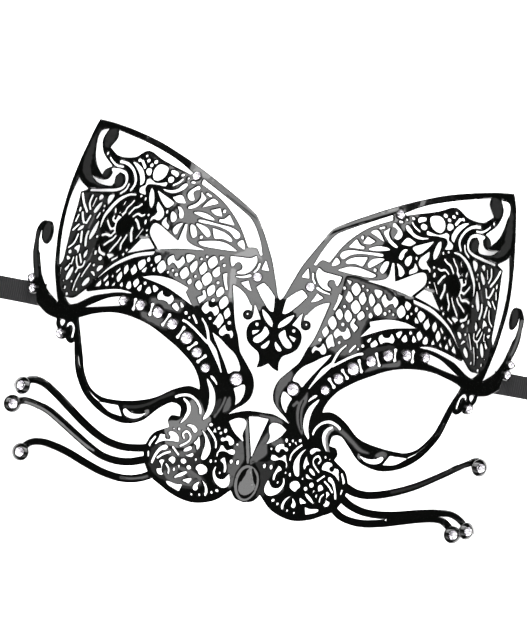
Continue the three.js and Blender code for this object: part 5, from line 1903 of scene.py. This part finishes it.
@dataclass(frozen=True)
class RibbonBuilder:
    """Makes the two ties, each one flat strip from behind the sheet to a coil standing on its edge."""

    surface: FaceSurface
    sizes: RibbonSizes

    def centre_line(self, y: float) -> tuple[np.ndarray, np.ndarray]:
        """Middle line of the right tie, and how far the strip is turned on its edge along it.

        It runs along X, then along the spiral r = coil radius - pitch * angle / 360 degrees.

        Args:
            y: Height of the straight part in the drawing.

        Returns:
            Points in millimetres at even steps, and angles in radians.
        """
        s = self.sizes
        x = np.arange(s.start_x, s.coil_centre_x, s.straight_step)
        turn = math.pi / 2.0 * smooth_step((x - s.turn_start_x) / s.turn_reach)
        under = self.surface.height(np.minimum(x, s.metal_edge_x), np.full_like(x, y)) - s.depth_under_front
        fall = smooth_step((x - s.metal_edge_x) / s.fall_reach)
        lying = under * (1.0 - fall) + s.thickness / 2.0 * fall
        half = (s.width * np.sin(turn) + s.thickness * np.cos(turn)) / 2.0
        straight = np.column_stack([x, np.full_like(x, y), np.maximum(lying, half)])
        angle = np.arange(0.0, 2.0 * math.pi * s.coil_turns, s.coil_step)
        radius = s.coil_radius - s.coil_pitch * angle / (2.0 * math.pi)
        coil = np.column_stack([
            s.coil_centre_x + radius * np.sin(angle),
            y + s.coil_radius - radius * np.cos(angle),
            np.full_like(angle, s.width / 2.0),
        ])
        line = np.vstack([straight, coil])
        turns = np.concatenate([turn, np.full(len(coil), math.pi / 2.0)])
        along = length_along(line)
        wanted = np.linspace(0.0, s.length, s.path_points)
        even = np.column_stack([np.interp(wanted, along, line[:, i]) for i in range(3)])
        return even, np.interp(wanted, along, turns)

    def build(self, side: Side) -> bpy.types.Object:
        """One tie: a thin rectangle carried along the middle line.

        Args:
            side: Which half.

        Returns:
            The finished object.
        """
        s = self.sizes
        line, turn = self.centre_line(s.left_y if side is Side.LEFT else s.right_y)
        ahead = unit(np.gradient(line[:, :2], axis=0))
        flat = np.column_stack([-ahead[:, 1], ahead[:, 0], np.zeros(len(line))])
        upright = np.array([0.0, 0.0, 1.0])
        across = flat * np.cos(turn)[:, None] + upright * np.sin(turn)[:, None]
        through = unit(np.cross(np.gradient(line, axis=0), across))
        share = np.linspace(-0.5, 0.5, s.points_across)[None, :, None]
        top = line[:, None] + share * s.width * across[:, None] + through[:, None] * s.thickness / 2.0
        low = top - through[:, None] * s.thickness
        section = np.concatenate([top, low[:, ::-1]], axis=1)
        section[..., 0] *= side.value
        section[..., 1] += self.surface.sizes.origin_shift_y
        count = section.shape[1]
        number = np.arange(section.shape[0] * count).reshape(-1, count)
        here, there = number[:-1], number[1:]
        quads = np.stack([here, there, np.roll(there, -1, axis=1), np.roll(here, -1, axis=1)], axis=2)
        caps = np.stack([number[0], number[-1][::-1]])
        polygons = [quads.reshape(-1, 4), caps]
        if side is Side.RIGHT:
            polygons = [p[:, ::-1] for p in polygons]
        piece = make_object(f"{side.label}_tie", section.reshape(-1, 3) * MM, polygons, smooth=False)
        self._lay_pattern(piece, number, count)
        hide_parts(f"{side.label}_ribbon", f"{side.label}_ribbon_coil")
        return piece

    def _lay_pattern(self, piece: bpy.types.Object, number: np.ndarray, count: int) -> None:
        """Gives each corner its place on the unrolled strip: millimetres along and across.

        Args:
            piece: The tie.
            number: Point numbers, a row for each section.
            count: Points in a section.
        """
        layer = piece.data.uv_layers.new(name="strip")
        corner = np.empty(len(piece.data.loops), dtype=np.int32)
        piece.data.loops.foreach_get("vertex_index", corner)
        step = self.sizes.length / (number.shape[0] - 1)
        place = np.stack([corner // count * step, corner % count * self.sizes.width / count], axis=1)
        layer.data.foreach_set("uv", place.astype(np.float32).ravel())


class NodeGraph:
    """Nodes of a material or a world, made and joined in short steps."""

    def __init__(self, name: str, world: bool = False) -> None:
        """Makes the material or the world with its shader.

        Args:
            name: Its name.
            world: True for a world.
        """
        self.owner = (bpy.data.worlds if world else bpy.data.materials).new(name)
        self.owner.use_nodes = True
        self.tree = self.owner.node_tree
        self.shader = self.tree.nodes["Background" if world else "Principled BSDF"]

    def add(self, kind: str, inputs: dict | None = None, **settings: object) -> bpy.types.Node:
        """Adds a node.

        Args:
            kind: Node type.
            inputs: Values or output sockets by input name.
            settings: Properties of the node.

        Returns:
            The new node.
        """
        node = self.tree.nodes.new(kind)
        for key, value in settings.items():
            setattr(node, key, value)
        self.feed(node, inputs or {})
        return node

    def feed(self, node: bpy.types.Node, inputs: dict) -> None:
        """Sets or joins a node's inputs.

        Args:
            node: The node.
            inputs: Values or output sockets by input name.
        """
        for key, value in inputs.items():
            if isinstance(value, bpy.types.NodeSocket):
                self.tree.links.new(value, node.inputs[key])
            else:
                node.inputs[key].default_value = value

    def noise(self, scale: float, detail: float = 2.0) -> bpy.types.NodeSocket:
        """Value of a noise fixed to the object itself, from its scale a metre and its levels of detail."""
        place = self.add("ShaderNodeTexCoord").outputs["Object"]
        inputs = {"Vector": place, "Scale": scale, "Detail": detail}
        return self.add("ShaderNodeTexNoise", inputs).outputs["Fac"]

    def blend(self, value: bpy.types.NodeSocket, low: tuple, high: tuple) -> bpy.types.NodeSocket:
        """Colour between two by a value.

        Args:
            value: Share of the second colour.
            low: First colour.
            high: Second colour.

        Returns:
            The blended colour.
        """
        inputs = {"Factor": value, "A": (*low, 1.0), "B": (*high, 1.0)}
        return self.add("ShaderNodeMix", inputs, data_type="RGBA").outputs["Result"]

    def bump(
        self, height: bpy.types.NodeSocket, distance: float, under: bpy.types.NodeSocket | None = None
    ) -> bpy.types.NodeSocket:
        """Direction of shading over a relief.

        Args:
            height: Relief from 0 to 1.
            distance: Height of the relief, in metres.
            under: Direction of shading without it, if another relief comes first.

        Returns:
            The bent direction.
        """
        node = self.add("ShaderNodeBump", {"Height": height, "Distance": distance, "Strength": 1.0})
        if under is not None:
            self.feed(node, {"Normal": under})
        return node.outputs["Normal"]


class Finishes:
    """Materials of the mask."""

    def __init__(self) -> None:
        """Makes all materials."""
        self.paint = self._paint(PaintFinish())
        self.glass, self.foil = self._crystal(CrystalFinish())
        self.ribbon = self._ribbon(RibbonFinish())

    def _paint(self, finish: PaintFinish) -> bpy.types.Material:
        """Black paint with a slight grain.

        Args:
            finish: Colours and gloss.

        Returns:
            The material.
        """
        graph = NodeGraph("black_paint")
        rough = graph.add("ShaderNodeMapRange", {
            "Value": graph.noise(finish.gloss_scale),
            "To Min": finish.roughness_low,
            "To Max": finish.roughness_high,
        })
        dents = graph.bump(graph.noise(finish.dent_scale, 1.0), finish.dent_height)
        graph.feed(graph.shader, {
            "Base Color": graph.blend(graph.noise(finish.tint_scale), finish.dark, finish.light),
            "Roughness": rough.outputs["Result"],
            "Normal": graph.bump(graph.noise(finish.grain_scale, 3.0), finish.grain_height, dents),
            "Coat Weight": finish.coat,
            "Coat Roughness": finish.roughness_low / 2.0,
            "Coat Normal": dents,
        })
        return graph.owner

    def _crystal(self, finish: CrystalFinish) -> tuple[bpy.types.Material, bpy.types.Material]:
        """Clear glass, and the mirror foil on the back facets.

        Args:
            finish: Clearness and foil.

        Returns:
            Glass and foil.
        """
        glass = NodeGraph("clear_crystal")
        glass.feed(glass.shader, {
            "Base Color": (1.0, 1.0, 1.0, 1.0),
            "Roughness": finish.roughness,
            "IOR": finish.index,
            "Transmission Weight": 1.0,
            "Normal": glass.bump(glass.noise(finish.polish_scale), finish.polish_height),
        })
        foil = NodeGraph("mirror_foil")
        foil.feed(foil.shader, {
            "Base Color": foil.blend(foil.noise(finish.foil_scale), finish.foil_low, finish.foil_high),
            "Metallic": 1.0,
            "Roughness": finish.foil_roughness,
        })
        return glass.owner, foil.owner

    def _ribbon(self, finish: RibbonFinish) -> bpy.types.Material:
        """Woven ribbon with ribs across its length.

        Args:
            finish: Colours and rib spacing.

        Returns:
            The material.
        """
        graph = NodeGraph("ribbed_ribbon")
        place = graph.add("ShaderNodeUVMap", uv_map="strip").outputs["UV"]
        # The texture's bands are 2 pi / (20 * scale) apart
        scale = 2.0 * math.pi / (20.0 * finish.rib_spacing)
        inputs = {"Vector": place, "Scale": scale, "Distortion": finish.rib_waviness}
        rib = graph.add("ShaderNodeTexWave", inputs, bands_direction="X").outputs["Fac"]
        graph.feed(graph.shader, {
            "Base Color": graph.blend(rib, finish.dark, finish.light),
            "Roughness": finish.roughness,
            "Normal": graph.bump(rib, finish.rib_height),
        })
        return graph.owner


@dataclass(frozen=True)
class Studio:
    """Pale floor, soft lights and the camera of the photo, over a drawing shifted up by shift_y."""

    sizes: StudioSizes
    shift_y: float

    def add_floor(self) -> None:
        """Adds the floor that the mask lies on."""
        half = self.sizes.floor_half
        corner = np.array([(-half, -half, 0.0), (half, -half, 0.0), (half, half, 0.0), (-half, half, 0.0)])
        floor = make_object("floor", corner, [np.array([[0, 1, 2, 3]])], smooth=False)
        graph = NodeGraph("pale_floor")
        dark, light = ((grey,) * 3 for grey in self.sizes.floor_greys)
        graph.feed(graph.shader, {
            "Base Color": graph.blend(graph.noise(self.sizes.floor_noise), dark, light),
            "Roughness": self.sizes.floor_roughness,
            "Specular IOR Level": self.sizes.floor_shine,
        })
        floor.data.materials.append(graph.owner)

    def add_light(self, light: SoftLight) -> None:
        """Adds one soft light.

        Args:
            light: Its place, size and power.
        """
        data = bpy.data.lights.new(light.name, "AREA")
        data.shape = "RECTANGLE"
        data.size, data.size_y = light.size
        data.energy = light.watts
        lamp = bpy.data.objects.new(light.name, data)
        lamp.location = light.place
        lamp.visible_glossy = light.mirrored
        lamp.visible_transmission = light.mirrored
        bpy.context.scene.collection.objects.link(lamp)

    def surround(self) -> bpy.types.World:
        """Surround that is nearly dark for the paint, and uneven and light through the crystals.

        Returns:
            The world.
        """
        s = self.sizes
        graph = NodeGraph("surround", world=True)
        place = graph.add("ShaderNodeTexCoord").outputs["Generated"]
        patches = graph.add("ShaderNodeTexNoise", {"Vector": place, "Scale": s.patch_scale, "Detail": 1.0})
        through = graph.add("ShaderNodeMapRange", {
            "Value": patches.outputs["Fac"],
            "From Min": s.patch_range[0],
            "From Max": s.patch_range[1],
            "To Min": s.patch_light[0],
            "To Max": s.patch_light[1],
        })
        strength = graph.add("ShaderNodeMapRange", {
            "Value": graph.add("ShaderNodeLightPath").outputs["Is Transmission Ray"],
            "To Min": s.surround_light,
            "To Max": through.outputs["Result"],
        })
        graph.feed(graph.shader, {"Strength": strength.outputs["Result"], "Color": (1.0, 1.0, 1.0, 1.0)})
        return graph.owner

    def add_camera(self) -> None:
        """Adds the camera, at the photo's angle over the lying mask."""
        s = self.sizes
        yaw, roll = math.radians(s.yaw), math.radians(s.roll)
        back = np.array([-math.sin(yaw), 0.0, math.cos(yaw)])
        side = np.array([math.cos(yaw), 0.0, math.sin(yaw)])
        up = np.array([0.0, 1.0, 0.0])
        place = s.axis_x * side + s.axis_y * up + s.distance * back + (0.0, self.shift_y, s.reference_height)
        right = math.cos(roll) * side + math.sin(roll) * up
        top = math.cos(roll) * up - math.sin(roll) * side
        data = bpy.data.cameras.new("photo_view")
        data.lens = s.focal_length
        data.sensor_fit = "HORIZONTAL"
        camera = bpy.data.objects.new("photo_view", data)
        turn = np.eye(4)
        turn[:3] = np.column_stack([right, top, back, place])
        camera.matrix_world = Matrix(turn.tolist())
        bpy.context.scene.collection.objects.link(camera)
        bpy.context.scene.camera = camera

    def build(self) -> None:
        """Adds everything round the mask."""
        self.add_floor()
        for light in LIGHTS:
            self.add_light(light)
        bpy.context.scene.world = self.surround()
        self.add_camera()
        bpy.context.scene.view_settings.view_transform = "Standard"


def dress(piece: bpy.types.Object, slot: Slot, *materials: bpy.types.Material) -> None:
    """Gives a piece its materials and its body.

    Args:
        piece: The object.
        slot: Slot of the record; not used.
        materials: Its materials in order.
    """
    for material in materials:
        piece.data.materials.append(material)
    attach(piece, "root")


def main() -> None:
    surface = FaceSurface(MaskSizes())
    pattern_sizes = PatternSizes()
    crystal_sizes = CrystalSizes()
    finishes = Finishes()
    pattern = MaskPattern(pattern_sizes, crystal_sizes).whole()
    sheet = PlateBuilder(surface, pattern_sizes, WaveMap(pattern_sizes)).build(pattern)
    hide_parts("mask_plate")
    dress(sheet, Slot.PAINT, finishes.paint)
    jeweller = CrystalBuilder(surface, crystal_sizes)
    ribbons = RibbonBuilder(surface, RibbonSizes())
    for side in Side:
        for stone in jeweller.build_side(side):
            dress(stone, Slot.CRYSTAL, finishes.glass, finishes.foil)
        dress(ribbons.build(side), Slot.RIBBON, finishes.ribbon)
    cups = jeweller.cups()
    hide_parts("mask_plate")
    dress(cups, Slot.PAINT, finishes.paint)
    Studio(StudioSizes(), surface.sizes.origin_shift_y * MM).build()


if __name__ == "__main__":
    main()
